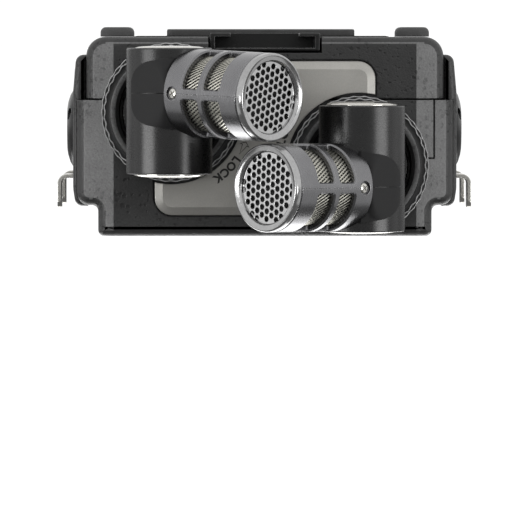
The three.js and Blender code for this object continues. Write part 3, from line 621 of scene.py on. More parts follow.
def crease_bends(solid):
    """Keeps the fold lines of the bent panel crisp under smooth shading."""
    mesh = solid.data
    marks = mesh.attributes["sharp_edge"].data
    for edge in mesh.edges:
        ends = [mesh.vertices[v].co / MM for v in edge.vertices]
        if all(abs(abs(co.x) - BEND_X) < 1e-3 and co.y > PANEL_Y - BEND_DEPTH + 0.1 for co in ends):
            marks[edge.index].value = True


def paint_bend_highlights(solid, inner):
    """Gives the bent sides of a panel and its faintest rounding, beyond a half width, a paler material: a
    painted highlight where they face the side lights.
    """
    mesh = solid.data
    mesh.materials.append(CASE_HIGHLIGHT)
    for face in mesh.polygons:
        beyond = face.center.y > (PANEL_Y - 5.5) * MM and abs(face.center.x) > inner * MM
        if beyond and 0.9 < face.normal.y < 0.985:
            face.material_index = 1


def front_shell():
    shell = join(deck_block(), chin_block())
    low, high = span("speaker_grille")
    lens_cuts = []
    for name in ("peak_lens", "record_lens"):
        first, last = span(name)
        lens_cuts.append(box(first.x - FIT, last.x + FIT, END_Y - 1, last.y + FIT, first.z - FIT, last.z + 3))
    cut(shell, *front_interior())
    cut(shell, dial_well(), *strap_corners(), *lens_cuts)
    cut(shell,
        box(low.x - FIT, high.x + FIT, END_Y - 1, high.y + GAP, low.z - FIT, high.z + FIT),
        prism(cover_outline(FIT), "Y", END_Y - 1, END_Y + 1.3),
        box(-24.9, -12.9, END_Y, END_Y + 4, 17.9, 20.1))
    cut(shell, *socket_holes(), prism(plate_outline(GAP), "Y", PANEL_Y - 1, PANEL_Y + 1), *side_rooms())
    cut(shell, prism(footprint("display_glass", GAP, 2.3), "Z", 37.1, DECK_Z + 1),
        box(-25.5, 25.5, -20.5, 56, 35, DECK_Z))
    cut(shell, *key_cuts())
    cut(shell, *port_cuts(), *panel_groove())
    seam_lip = box(-29.2, 29.2, END_Y + 2.9, END_Y + 3.7, SEAM_Z - 1.2, SEAM_Z + 1)
    join(shell, seam_lip)
    whole = piece("case_front", bent_panel(shell), CASE, "recorder", ["front_shell"])
    crease_bends(whole)
    paint_bend_highlights(whole, BEND_X)


def screw_places():
    return [(side * 28.2, y) for side in (-1, 1) for y in (43, -33)]


def back_shell():
    top = SEAM_Z - GAP
    outline = mirrored([(BACK_HALF, BACK_Z, 3.6), (BACK_HALF, top + 3)], 10)
    shell = prism(outline, "Y", BAY_END_Y - 1.6, PANEL_Y, (0.3, 1.6), 8)
    cut(shell, layer(top, top + 5))
    shoe_low, shoe_high = span("accessory_shoe")
    bushing = centre_of("tripod_bushing")
    jacks_low, jacks_high = span("input_jack_4")[0], span("input_jack_2")[1]
    cut(shell, box(-BACK_HALF + WALL, BACK_HALF - WALL, BAY_END_Y, PANEL_Y - 3, 6.6, top + 1))
    cut(shell, box(-BACK_HALF + 4, BACK_HALF - 4, BAY_END_Y, -3, 3.6, 7),
        *both_sides(box(12.6, BACK_HALF - 4, 11, PANEL_Y - 3, 3.6, 7)))
    cut(shell,
        box(shoe_low.x - GAP, shoe_high.x + GAP, shoe_low.y - GAP, PANEL_Y + 1, 0, shoe_high.z + GAP),
        rod(5.45, 0, 12, "Z", (0, bushing.y, 0), 48),
        box(-40, 40, jacks_low.y - 0.6, jacks_high.y + 0.6, 8.4, top + 1))
    cut(shell, *socket_holes(), prism(plate_outline(GAP), "Y", PANEL_Y - 1, PANEL_Y + 1), *side_rooms(),
        *[rod(2.3, 0, BACK_Z + 1, "Z", (x, y, 0), 32) for x, y in screw_places()])
    wall = box(-30.8, 30.8, BAY_END_Y - 1.5, BAY_END_Y - 0.1, top - 1, 18.15)
    divider = box(-30.8, 30.8, span("battery_1")[0].y - 1.2, BAY_END_Y - 1, 17.45, 18.15)
    join(shell, wall, divider)
    whole = piece("case_back", bent_panel(shell), CASE, "recorder", ["back_shell"])
    crease_bends(whole)
    paint_bend_highlights(whole, 0)


def phillips_screw(radius, height):
    """A domed screw head standing on z = 0, with a cross recess."""
    dome = [(radius * math.cos(t), height * (0.5 + 0.5 * math.sin(t))) for t in spread(0, math.pi / 2, 5)]
    head = lathe([(0, -0.6), (radius, -0.6), *dome], segments=32)
    arm, width = radius * 0.62, radius * 0.2
    return cut(head, box(-arm, arm, -width / 2, width / 2, height * 0.3, height + 1),
               box(-width / 2, width / 2, -arm, arm, height * 0.3, height + 1))


def back_screws():
    turn_over = Matrix.Rotation(math.pi, 4, "X")
    heads = [moved(phillips_screw(1.9, 0.5), shift(x, y, BACK_Z + 0.9) @ turn_over)
             for x, y in screw_places()]
    piece("case_screws", gather(heads), GLOSS, "recorder")


# ---------------------------------------------------------------- battery door


def half_space(normal, offset):
    """Everything beyond a plane, as a block big enough for the whole object."""
    normal = Vector(normal).normalized()
    facing = normal.to_track_quat("Z", "Y").to_matrix().to_4x4()
    return moved(box(-200, 200, -200, 200, 0, 200), Matrix.Translation(normal * offset) @ facing)


def hull(half, low, high, inward):
    """The door's body: its end sweeps up to the parting line and a facet takes each corner off."""
    reach, sweep_end, mouth = END_Y + inward, END_Y + 10.5, BAY_END_Y - 1.9
    rise = high - 2 - low
    curve = [(sweep_end - (sweep_end - reach) * math.sin(t), low + rise * (1 - math.cos(t)))
             for t in spread(0, math.pi / 2, 18)]
    side = rounded([(mouth, high), (mouth, low), *curve, (reach, high)])
    slim = inward * 0.8
    section = mirrored([(25.4 - slim * 0.5, low, 3), (29.3 - slim, low + 1.9, 3),
                        (31.8 - slim, low + 4.8, 3), (half, low + 8.6, 4), (half, high)])
    body = keep(prism(section, "Y", END_Y - 1, mouth), prism(side, "X", -40, 40))
    facet = Vector((0.724, -0.125, -0.678)).normalized()
    through = facet.dot(Vector((33.4, END_Y, 12.2))) - inward
    return cut(body, *[half_space((facet.x * turn, facet.y, facet.z), through) for turn in (1, -1)])


def door_grip():
    """Raised ribs and an arrow that say where to push and which way the door slides."""
    low = span("battery_door")[0].z
    ribs = [box(-9, 9, y - 0.45, y + 0.45, low - 0.35, low + 0.5, 0.2) for y in (-44, -46, -48, -50)]
    arrow = prism(rounded([(-2.4, -53.5), (2.4, -53.5), (0, -57)]), "Z", low - 0.3, low + 0.4, (0.15, 0))
    return [*ribs, arrow]


def battery_rooms():
    """Room in the door for the cells and for the plates at their ends, open toward the mouth."""
    rooms, beyond = [], BAY_END_Y + 1
    for number in range(1, 5):
        low, high = span(f"battery_{number}")
        middle = (low + high) / 2
        rooms.append(rod((high.x - low.x) / 2 + FIT, low.y - GAP, beyond, "Y", (middle.x, 0, middle.z)))
    for name, margin, behind in (("battery_springs", 0.2, 0.3), ("battery_contacts", 0.15, 0.2)):
        low, high = span(name)
        rooms.append(box(low.x - margin, high.x + margin, low.y - behind, beyond, low.z - margin, SEAM_Z + 5))
    return rooms


def battery_door():
    low, high = span("battery_door")
    floor_z = low.z + 1.35
    door = hull(high.x, low.z, high.z, 0)
    cut(door, hull(high.x - WALL, floor_z, SEAM_Z + 5, 2.2))
    cut(door, box(-26.5, 26.5, -60, BAY_END_Y, floor_z, SEAM_Z + 5),
        box(-31, 31, -60, BAY_END_Y, low.z + 9, SEAM_Z + 5))
    for room in battery_rooms():
        cut(door, room)
    join(door, *door_grip())
    piece("door_cover", door, DOOR, "battery_door", ["battery_door"])
    pad = prism(footprint("battery_door_pad", 0, 1.4), "Z", 0, span("battery_door_pad")[1].z, (0.35, 0))
    piece("door_pad", pad, RUBBER, "battery_door", ["battery_door_pad"])


# ---------------------------------------------------------------- screen side


def display():
    low, high = span("display_glass")
    glass = prism(footprint("display_glass", 0, 2), "Z", low.z, high.z, (0, 0.25))
    piece("screen_glass", glass, GLASS, "recorder", ["display_glass"])
    area = prism(rectangle(-24.6, 24.6, -20.5, 54.5, 0.8), "Z", high.z - 0.01, high.z + 0.015)
    piece("screen_picture_area", area, SCREEN, "recorder")


KNURLS = 72
KNURL_ROWS = ((31.35, 32.35), (32.55, 33.55), (33.75, 34.75))


def dial():
    """A turning dial whose side has three rows of small square knurls."""
    groove = 0.5
    rows = [(11.4, DIAL_RIM_Z, 0), (12.0, DIAL_RIM_Z, 0), (12.55, 31.1, 0), (12.55, 31.25, 0)]
    for low, high in KNURL_ROWS:
        rows += [(DIAL_R - groove, low - 0.1, 0), (DIAL_R, low, 1), (DIAL_R, high, 1),
                 (DIAL_R - groove, high + 0.1, 0)]
    top = DIAL_HIGH.z
    rows += [(12.6, 34.95, 0), (12.5, 35.2, 0), (11.8, top - 0.1, 0), (11.5, top, 0), (10.6, top, 0),
             (10.3, top - 0.12, 0), (9.8, top - 0.6, 0), (9.5, top - 0.7, 0), (5, top - 0.85, 0),
             (0.01, top - 0.9, 0)]
    parts = (0.12, 0.2, 0.8, 0.88)
    loops = [[(0.01 * math.cos(t), DIAL_Y + 0.01 * math.sin(t), DIAL_RIM_Z) for t in knurl_angles(parts)]]
    for radius, z, cut_share in rows:
        loop = []
        for index, t in enumerate(knurl_angles(parts)):
            in_groove = index % len(parts) in (0, len(parts) - 1)
            r = radius - groove * cut_share * in_groove
            loop.append((r * math.cos(t), DIAL_Y + r * math.sin(t), z))
        loops.append(loop)
    wheel = loft(loops)
    join(wheel, rod(3, DIAL_LOW.z, DIAL_RIM_Z + 0.5, "Z", (0, DIAL_Y, 0), 32))
    piece("dial_wheel", wheel, DIAL, "dial", ["dial"], 25)
    mark = prism(rectangle(-0.25, 0.25, DIAL_Y + 7.2, DIAL_Y + 9.2, 0.2), "Z", top - 0.9, top - 0.66)
    piece("dial_mark", mark, PRINT, "dial")


def knurl_angles(parts):
    return [TURN * (i + part) / KNURLS for i in range(KNURLS) for part in parts]


def triangle(x, y, size, way):
    return rounded([(x - way * size / 2, y - size * 0.6, 0.1), (x - way * size / 2, y + size * 0.6, 0.1),
                    (x + way * size / 2, y, 0.1)], 3)


def key_signs(name, x, y):
    """The transport sign printed on a key, as outlines."""
    signs = {
        "stop_key": [rectangle(x - 0.8, x + 0.8, y - 0.8, y + 0.8, 0.1, 3)],
        "rewind_key": [triangle(x - 0.75, y, 1.4, -1), triangle(x + 0.75, y, 1.4, -1)],
        "forward_key": [triangle(x - 0.75, y, 1.4, 1), triangle(x + 0.75, y, 1.4, 1)],
        "play_key": [triangle(x - 0.9, y, 1.5, 1), rectangle(x + 0.5, x + 0.8, y - 0.9, y + 0.9),
                     rectangle(x + 1.15, x + 1.45, y - 0.9, y + 0.9)],
        "mark_key": [rectangle(x - 0.9, x - 0.6, y - 1.1, y + 1.1), triangle(x + 0.05, y + 0.4, 1.1, 1)],
    }
    return signs.get(name, [])


def keys():
    dish_r, dish_depth, dish_reach = 30, 0.12, 0.16
    for name in KEY_NAMES:
        low, high = span(name)
        at = (low + high) / 2
        cap = prism(footprint(name, 0, KEY_RADIUS), "Z", low.z, high.z, (0, 0.4), 4)
        dish = [(dish_r * math.sin(t), high.z + dish_r - dish_depth - dish_r * math.cos(t))
                for t in spread(0, dish_reach, 10)]
        cut(cap, lathe(dish + [(0, high.z + 2)], "Z", (at.x, at.y, 0), 48))
        piece(f"{name}_cap", cap, KEYS, name, [name])
        if name == "record_key":
            dot = rod(1.15, high.z - 0.3, high.z - 0.02, "Z", (at.x, at.y, 0), 32, 0.08)
            piece("record_key_dot", dot, RED_KEY, name)
        else:
            signs = [prism(sign, "Z", high.z - 0.3, high.z - 0.04) for sign in key_signs(name, at.x, at.y)]
            piece(f"{name}_sign", gather(signs), PRINT, name)


# ---------------------------------------------------------------- end face


def lenses():
    for name, material, slot in (("peak_lens", GREY_LENS, "grey_lens"),
                                 ("record_lens", RED_LENS, "red_lens")):
        low, high = span(name)
        side = rounded([(low.y, low.z, 0.15), (high.y, low.z), (high.y, high.z),
                        (END_Y + 0.9, high.z - 0.1, 0.5), (low.y, high.z - 0.8, 0.4)])
        lens = prism(side, "X", low.x, high.x, (0.15, 0.15))
        piece(f"{name}_window", lens, material, "recorder", [name])


def labels():
    face_end = Matrix.Rotation(math.pi / 2, 4, "X")
    for text, name in (("PEAK", "peak_lens"), ("REC", "record_lens")):
        place = shift(centre_of(name).x, END_Y + 0.005, 25.15) @ face_end
        word = moved(lettering(text, 1.5, 0.06, 0.045), place)
        piece(f"label_{text.lower()}", word, PRINT, "recorder")


def end_fittings():
    for side in ("left", "right"):
        low, high = span(f"strap_pin_{side}")
        at = (low + high) / 2
        pin = rod(high.x - at.x, low.z, high.z, "Z", (at.x, at.y, 0), 32)
        piece(f"strap_bar_{side}", pin, CHROME, "recorder", [f"strap_pin_{side}"])
    low, high = span("card_cover")
    cover = prism(cover_outline(0), "Y", END_Y + 0.02, END_Y + 1, (0.3, 0))
    join(cover, box(-24.5, -13.3, END_Y + 0.5, high.y, 18.2, 19.8))
    piece("card_door", cover, COVER, "card_cover", ["card_cover"])
    low, high = span("speaker_grille")
    sheet = box(low.x, high.x, low.y, high.y, low.z, high.z)
    pitch, holes = 0.52, []
    for row in range(4):
        for column in range(11):
            x = low.x + 0.28 + (column + 0.5 * (row % 2)) * pitch
            if x < high.x - 0.25:
                z = low.z + 0.3 + row * 0.5
                holes.append(rod(0.17, low.y - 1, high.y + 1, "Y", (x, 0, z), 10))
    piece("speaker_mesh", cut(sheet, gather(holes)), KNURL, "recorder", ["speaker_grille"])


# ---------------------------------------------------------------- microphones

AXIS_Y = 15.7                      # how far the barrel's axis stands off the panel
BARREL_R, BARREL_HALF = 7.85, 12.05
BARREL_RISE, BARREL_OUT = -0.34, -0.2
TUBE_R, TUBE_BORE, TUBE_BACK, TUBE_FRONT = 8, 7, 6.3, 26.2
TUBE_SEATS = {"left": (0.2, -3.93, 2.2), "right": (-1, -3.77, 0.6)}  # shift along, drop, tilt in degrees
NECK_DROP = -3.6
RIB = 2.1
WINDOW_BANDS = ((10.8, 14.7), (16.2, 20.3))


def unit_matrix(side):
    """Places a part built round the left unit's socket. The right unit is turned half a turn."""
    sign, centre = UNITS[side]
    return shift(centre.x, PANEL_Y, centre.z) @ Matrix.Rotation(math.pi if sign > 0 else 0, 4, "Y")


def tube_matrix(side):
    """Places a part built along +Y on the capsule's axis, level and 45 degrees across the panel."""
    along, drop, tilt = TUBE_SEATS[side]
    turn = Matrix.Rotation(-math.pi / 4, 4, "Z") @ Matrix.Rotation(math.radians(tilt), 4, "X")
    return unit_matrix(side) @ shift(BARREL_OUT, AXIS_Y, drop) @ turn @ shift(0, along, 0)


def barrel():
    rim = 11.5
    upper = [(BARREL_R, rim - 0.3), (BARREL_R - 0.08, rim - 0.08), (BARREL_R - 0.3, rim), (6.5, rim),
             (6.5, rim - 0.2), (0, rim - 0.2)]
    return lathe([(a, -h) for a, h in reversed(upper)] + upper, "Z", (BARREL_OUT, AXIS_Y, BARREL_RISE), 96)


def mic_body(side):
    """The upright barrel on its foot, with a polished domed cap let into each of its ends."""
    foot = lathe([(0, -2.6), (5.7, -2.6), (6, -2.3), (6, 0.6), (9, 0.6), (9, 4.1), (8.7, 4.4), (7.9, 4.4),
                  (7.4, 4.7), (7.4, AXIS_Y - 5), (0, AXIS_Y - 5)], "Y", segments=96)
    body = join(barrel(), foot)
    piece(f"{side}_barrel", moved(body, unit_matrix(side)), SATIN, f"mic_{side}", [f"mic_{side}_body"])
    dome = [(0, 10.8), (6.44, 10.8), (6.44, 11.5), (6.2, 11.72), (5.7, 11.84), (4.9, 11.93), (3.6, 12.0),
            (1.8, BARREL_HALF), (0, BARREL_HALF)]
    cap = lathe(dome, "Z", segments=96)
    place = unit_matrix(side) @ shift(BARREL_OUT, AXIS_Y, BARREL_RISE + 0.15)
    caps = gather([moved(copy_of(cap), place), moved(cap, place @ Matrix.Rotation(math.pi, 4, "X"))])
    piece(f"{side}_barrel_caps", caps, STEEL, f"mic_{side}")


def neck_loop(y, wide, tall, power):
    """A loop between a rectangle and an ellipse: the higher the power, the squarer it is."""
    count, points = 96, []
    for i in range(count):
        c, s = math.cos(TURN * i / count), math.sin(TURN * i / count)
        reach = (abs(c / wide) ** power + abs(s / tall) ** power) ** (-1 / power)
        points.append((reach * c, y, reach * s))
    return points


def neck(side):
    """A collar that wraps the barrel's side, and a waist that grows round toward the silver tube."""
    drop, wide = NECK_DROP, BARREL_R + 0.45
    outline = rounded([(-6.9, drop - 5.3, 4), (1.3, drop - 6.7), (6, drop - 7.6), (30, drop - 7.6),
                       (30, drop + 7.6), (6, drop + 7.6), (1.3, drop + 6.7), (-6.9, drop + 5.3, 4)], 12)
    swing = shift(0, AXIS_Y, drop) @ Matrix.Rotation(-math.pi / 4, 4, "Z")
    wrap = keep(rod(wide, -9, 9, "Z", segments=192), box(-9, 0, -9, 6.1, -9, 9))
    low, high, loops = -0.01, TUBE_BACK + TUBE_SEATS[side][0] + 0.02, []
    for part in spread(0, 1, 20):
        ease = part * part * (3 - 2 * part)
        loops.append(neck_loop(low + (high - low) * part, wide + (7.62 - wide) * ease, 8.3 - 0.68 * ease,
                               12 * (1 - part) + 2.0))
    shape = keep(moved(join(wrap, loft(loops)), swing), prism(outline, "Y", AXIS_Y - 1, AXIS_Y + 30))
    cut(shape, rod(BARREL_R + 0.03, -BARREL_HALF - 2, BARREL_HALF + 1, "Z", (0, AXIS_Y, BARREL_RISE), 192))
    cut(shape, box(-20, 20, -5, 40, drop - 0.06, drop + 0.06))
    piece(f"{side}_neck", moved(shape, unit_matrix(side) @ shift(BARREL_OUT, 0, 0)), NECK, f"mic_{side}",
          [f"mic_{side}_neck"])


def window_cutter(quarter, band):
    """A rounded window in the tube between two ribs, with a chamfered lip."""
    half_rib = 1.02 * RIB / 2
    flat = rectangle(0, math.pi / 2 * TUBE_R - 2 * half_rib, *band, 0.5, 4)
    outline, longest = [], 0.6
    for first, second in zip(flat, flat[1:] + flat[:1]):
        parts = max(1, int((second - first).length / longest))
        outline += [first.lerp(second, part / parts) for part in range(parts)]
    start = quarter * math.pi / 2 + half_rib / TUBE_R
    return loft([[(radius * math.cos(start + p.x / TUBE_R), p.y, radius * math.sin(start + p.x / TUBE_R))
                  for p in inset(outline, -lip)]
                 for radius, lip in ((6.2, 0), (TUBE_R - 0.28, 0), (TUBE_R + 0.03, 0.3), (11.5, 0.3))])


SCREW_Y = 8.4


def tube(side):
    """The silver tube: a ring wall with eight windows, a parting line and the recess of its screw."""
    rim = TUBE_FRONT - 1.45
    wall = lathe([(TUBE_BORE, TUBE_BACK), (TUBE_R - 0.2, TUBE_BACK), (TUBE_R, TUBE_BACK + 0.2),
                  (TUBE_R, rim - 0.2), (TUBE_R - 0.2, rim), (TUBE_BORE, rim), (TUBE_BORE, TUBE_BACK)],
                 "Y", segments=128)
    cut(wall, *[window_cutter(quarter, band) for quarter in range(4) for band in WINDOW_BANDS])
    seams = [box(-8, -TUBE_R + 0.1, SCREW_Y + 1.5, TUBE_FRONT, -0.04, 0.04),
             box(TUBE_R - 0.1, 8, TUBE_BACK, TUBE_FRONT, -0.04, 0.04)]
    recess = rod(1.3, -TUBE_R - 1, -TUBE_R + 0.55, "X", (0, SCREW_Y, 0), 32)
    cut(wall, recess, *seams)
    piece(f"{side}_tube", moved(wall, tube_matrix(side)), SILVER, f"mic_{side}", [f"mic_{side}_housing"])
    stand = shift(-TUBE_R + 0.55, SCREW_Y, 0) @ Matrix.Rotation(-math.pi / 2, 4, "Y")
    screw = moved(phillips_screw(0.95, 0.42), tube_matrix(side) @ stand @ Matrix.Rotation(0.6, 4, "Z"))
    piece(f"{side}_tube_screw", screw, STEEL, f"mic_{side}")


def wire(radius, lean, phase, y0, y1, thick):
    """One wire of the woven screen: a helix round the tube's axis with a flattened section."""
    loops = []
    for part in spread(0, 1, 30):
        t = phase + lean * part
        out = Vector((math.cos(t), 0, math.sin(t)))
        middle = out * radius + Vector((0, y0 + (y1 - y0) * part, 0))
        across = Vector((-math.sin(t), 0, math.cos(t))) * thick
        out *= thick * 0.4
        loops.append([middle + out, middle + across, middle - out, middle - across])
    return loops


def woven_screen(side):
    """The woven wire screen behind the windows: two sets of helical wires that cross."""
    count, verts, faces = 62, [], []
    for lean, radius, thick in ((1.5, 6.86, 0.17), (-1.5, 6.7, 0.08)):
        for i in range(count):
            loops = wire(radius, lean, TURN * i / count, TUBE_BACK + 0.8, TUBE_FRONT - 1.9, thick)
            base = len(verts)
            for loop in loops:
                verts += loop
            for row in range(len(loops) - 1):
                a, b = base + row * 4, base + row * 4 + 4
                faces += [(a + k, a + (k + 1) % 4, b + (k + 1) % 4, b + k) for k in range(4)]
            last = base + (len(loops) - 1) * 4
            faces += [(base, base + 1, base + 2, base + 3), (last, last + 1, last + 2, last + 3)]
    screen = moved(build(verts, faces), tube_matrix(side))
    piece(f"{side}_screen", screen, WIRE, f"mic_{side}", [f"mic_{side}_screen"], 60)


def front_ring(side):
    """The polished ring round the capsule's perforated disc."""
    back, bore = TUBE_FRONT - 1.4, 6.2
    ring = lathe([(bore, back), (7.7, back), (TUBE_R - 0.02, back + 0.15), (TUBE_R - 0.02, 25.8),
                  (7.93, 26.0), (7.8, 26.14), (7.6, TUBE_FRONT), (7.5, 26.17), (7.4, 26.1), (6.75, 26.06),
                  (6.55, 25.9), (6.42, 25.6), (6.38, 25.2), (bore, 25.1), (bore, back)], "Y", segments=160)
    piece(f"{side}_front_ring", moved(ring, tube_matrix(side)), RING, f"mic_{side}",
          [f"mic_{side}_grille"])


def front_disc(side):
    """The perforated disc in front of the capsule, with round holes in a close hexagonal pattern."""
    pitch, hole, turn = 1.4, 0.55, math.radians({"left": 98, "right": 93}[side])
    sheet = rod(6.46, 25.2, 25.45, "Y", segments=96)
    holes = []
    for row in range(-6, 7):
        for column in range(-7, 8):
            spot = Vector(((column + 0.5 * (row % 2)) * pitch, row * pitch * math.sqrt(3) / 2))
            spot.rotate(Matrix.Rotation(turn, 2))
            if spot.length < 6.3:
                holes.append(rod(hole, 24.5, 26.5, "Y", (spot.x, 0, spot.y), 20))
    face = moved(cut(sheet, gather(holes)), tube_matrix(side))
    piece(f"{side}_front_disc", face, CHROME, f"mic_{side}")
    back = moved(rod(6.3, 23.6, 24.1, "Y", segments=64), tube_matrix(side))
    piece(f"{side}_inner_disc", back, HOLLOW, f"mic_{side}")


LOBES = 38


def wave(t):
    """How far out the lock ring's rim is at an angle: 0 in its finger dents, 1 on its lobes."""
    return 0.5 + 0.5 * math.cos(LOBES * t)


def rim_loop(y, radius_at):
    """A loop round the lock ring's axis, whose radius depends on the angle."""
    samples = 12 * LOBES
    return [(radius_at(t) * math.cos(t), y, radius_at(t) * math.sin(t))
            for t in spread(0, TURN, samples)[:-1]]


def lock_ring(side):
    """A turning ring whose bevelled front edge is scalloped for the fingers, with two pale lines along the
    scallops and a paler inner bevel, all painted highlights.
    """
    dent = 0.3
    scalloped = [(12.85, 0.5), (12.85, 4.7), (12.75, 5.0), (12.62, 5.02)]
    plain = [(12.1, 5.02), (11.95, 4.96), (11.35, 4.98), (11.22, 5.1), (11.16, 5.75), (11.05, 5.88),
             (10.95, 5.9), (10.3, 5.78), (10.2, 5.7), (9.75, 5.3), (9.6, 5.15), (9.55, 3.6), (9.5, 3.5),
             (9.45, 0.5)]
    loops = [rim_loop(y, lambda t: radius - dent * (1 - wave(t))) for radius, y in scalloped]
    loops += [rim_loop(y, lambda t: radius) for radius, y in plain]
    ring = moved(loft(loops, closed=True), unit_matrix(side))
    piece(f"{side}_lock_ring", ring, KNURL, f"lock_ring_{side}", [f"lock_ring_{side}"], 40)
    # Two pale strands that follow the scallops: painted highlights of the crest.
    strands = []
    for middle, swing, half in ((12.3, -0.2, 0.12), (12.6, 0.12, 0.09)):
        section = [(half, 4.9), (half, 5.12), (half / 2, 5.22),
                   (-half / 2, 5.22), (-half, 5.12), (-half, 4.9)]
        strands.append(loft([rim_loop(y, lambda t: middle + swing * wave(t) + out) for out, y in section],
                            closed=True))
    # The inner bevel in the paler case plastic: a painted highlight.
    bevel = lathe([(11.18, 5.3), (11.18, 5.7), (11.05, 5.93), (10.92, 5.96), (10.3, 5.84), (10.2, 5.76),
                   (10.2, 5.3), (11.18, 5.3)], "Y", segments=160)
    piece(f"{side}_ring_bevel", moved(bevel, unit_matrix(side)), CASE_HIGHLIGHT, f"lock_ring_{side}")
    piece(f"{side}_painted_highlight_lines", moved(gather(strands), unit_matrix(side)), CREST_HIGHLIGHT, f"lock_ring_{side}",
          sharp=50)


def plate():
    """The satin plate behind the microphones, with a wide bevel round it and room for the rings."""
    outline = plate_outline(0)
    bevel, face = 1.4, PLATE_HIGH.y
    loops = [[(p.x, y, p.y) for p in inset(outline, d)]
             for d, y in ((0, PLATE_LOW.y), (0, face - 0.46), (0.08, face - 0.4), (bevel, face - 0.03),
                          (bevel + 0.08, face))]
    shape = cut(loft(loops), *[rod(13.35, -3, 3, "Y", (centre.x, PANEL_Y, centre.z), 160)
                               for _, centre in UNITS.values()])
    piece("panel_plate", shape, NICKEL, "recorder", ["top_plate"], 12)


def on_arc(side, angle, radius):
    """A place on the plate round a unit, its X along the arc and its Y pointing away from the unit."""
    c, s = math.cos(math.radians(angle)), math.sin(math.radians(angle))
    level = PLATE_HIGH.y - PANEL_Y
    spot = Matrix(((-s, c, 0, radius * c), (0, 0, 1, level), (c, s, 0, radius * s), (0, 0, 0, 1)))
    return unit_matrix(side) @ spot


def plate_marks():
    """LOCK and a hollow arrow beside each ring, set round the ring."""
    level = PLATE_HIGH.y - PANEL_Y
    for side, turn in (("left", 0), ("right", -20)):
        marks = []
        for letter, angle in zip("LOCK", (36.3, 42.2, 48.4, 54.6)):
            marks.append(moved(lettering(letter, 1.5, 0.03, 0.055), on_arc(side, angle + turn, 14.9)))
        outline = []
        for angle, radius in ((32, 14.85), (24.5, 14.4), (24.5, 13.9), (21.5, 14.9), (24.5, 15.9),
                              (24.5, 15.4)):
            t = math.radians(angle + turn)
            outline.append(Vector((radius * math.cos(t), radius * math.sin(t))))
        arrow = prism(outline, "Y", level - 0.02, level + 0.015)
        cut(arrow, prism(inset(outline, 0.14), "Y", level - 1, level + 1))
        marks.append(moved(arrow, unit_matrix(side)))
        # The marks lie flat on the plate; their dark colour paints the shade of engraved grooves.
        piece(f"{side}_lock_mark", gather(marks), ENGRAVING_SHADE, "recorder")


# ---------------------------------------------------------------- sides


def side_plates():
    low, high = SIDE_LOW, SIDE_HIGH
    section = rounded([(low.x - 0.7, low.z), (high.x - 0.6, low.z, 1.5), (high.x, 12, 8), (high.x, 30, 8),
                       (high.x - 0.5, high.z, 1.5), (low.x - 0.7, high.z)], 5)
    for name, sign in (("left", -1), ("right", 1)):
        plate_body = prism(section, "Y", low.y, high.y, (0.5, 1.2), 5)
        cut(plate_body, *[rod(12, 30, 40, "X", (0, centre_of(f"input_jack_{n}").y, JACK_Z), 96)
                          for n in (2, 4)])
        piece(f"{name}_side_plate", sided(plate_body, sign), CASE, "recorder", [f"side_plate_{name}"])


def input_jacks():
    """Combination sockets: a bezel, a groove and a domed insert with a round bore and three pin holes."""
    face, latch_z = SIDE_HIGH.x, span("latch_2")[0].z
    bottom, pin_circle = face - 11, 5.6
    bezel_profile = [(9.5, bottom), (9.7, face - 0.5), (9.95, face - 0.1), (10.3, face), (11.3, face),
                     (11.6, face - 0.1), (11.7, face - 0.4), (11.7, face - 2.2), (9.8, face - 2.2),
                     (9.5, face - 2.4), (9.5, bottom)]
    insert_profile = [(0, face - 12), (7.6, face - 12), (7.6, face - 0.5), (7.45, face - 0.1),
                      (7.2, face + 0.3), (6.3, face + 0.85), (5, face + 1.25), (4.1, face + 1.4),
                      (3.75, face + 1.35), (0, face + 1.35)]
    for number, sign in JACKS.items():
        y = centre_of(f"input_jack_{number}").y
        axis = (0, y, JACK_Z)
        body = box(face - 18.5, face - 2, y - 10, y + 10, JACK_Z - 10, JACK_Z + 10, 0.8)
        cut(body, rod(9.7, bottom, face + 1, "X", axis, 96))
        join(body, lathe(bezel_profile, "X", axis, 96))
        join(body, lathe(insert_profile, "X", axis, 96))
        pins = [rod(1.15, face - 9, face + 2, "X",
                    (0, y + pin_circle * math.cos(t), JACK_Z + pin_circle * math.sin(t)), 32)
                for t in (math.radians(turn) for turn in (90, 210, 330))]
        cut(body, rod(3.3, face - 16.5, face + 2, "X", axis, 64), *pins)
        cut(body, box(28.3, 40, y - 3.3, y + 3.3, latch_z - GAP, latch_z + LATCH_THICK + GAP))
        piece(f"jack_{number}", sided(body, sign), GLOSS, "recorder", [f"input_jack_{number}"])
        contact = lathe([(2.95, face - 14), (3.28, face - 14), (3.28, face - 3), (2.95, face - 3),
                         (2.95, face - 14)], "X", axis, 48)
        piece(f"jack_{number}_sleeve", sided(contact, sign), STEEL, "recorder")


def latches():
    """Pressed steel strips that release the plugs, bent up outside the case and rounded at the tip."""
    outer, bend, root = span("latch_2")[1].x, 1.8, 30
    for number, sign in JACKS.items():
        low, high = span(f"latch_{number}")
        outside, inside_bend = [
            [(outer - bend + radius * math.cos(t), low.z + bend + radius * math.sin(t))
             for t in spread(start, end, 8)]
            for radius, start, end in ((bend, -math.pi / 2, 0), (bend - LATCH_THICK, 0, -math.pi / 2))]
        strip = rounded([(root, low.z), *outside, (outer, high.z, 0.25), (outer - LATCH_THICK, high.z, 0.25),
                         *inside_bend, (root, low.z + LATCH_THICK)])
        shape = prism(strip, "Y", low.y, high.y, (0.12, 0.12))
        keep(shape, prism(rectangle(low.y, high.y, low.z - 20, high.z, 1.3), "X", 20, 45))
        piece(f"latch_{number}_strip", sided(shape, sign), STEEL, f"latch_{number}", [f"latch_{number}"],
              35)


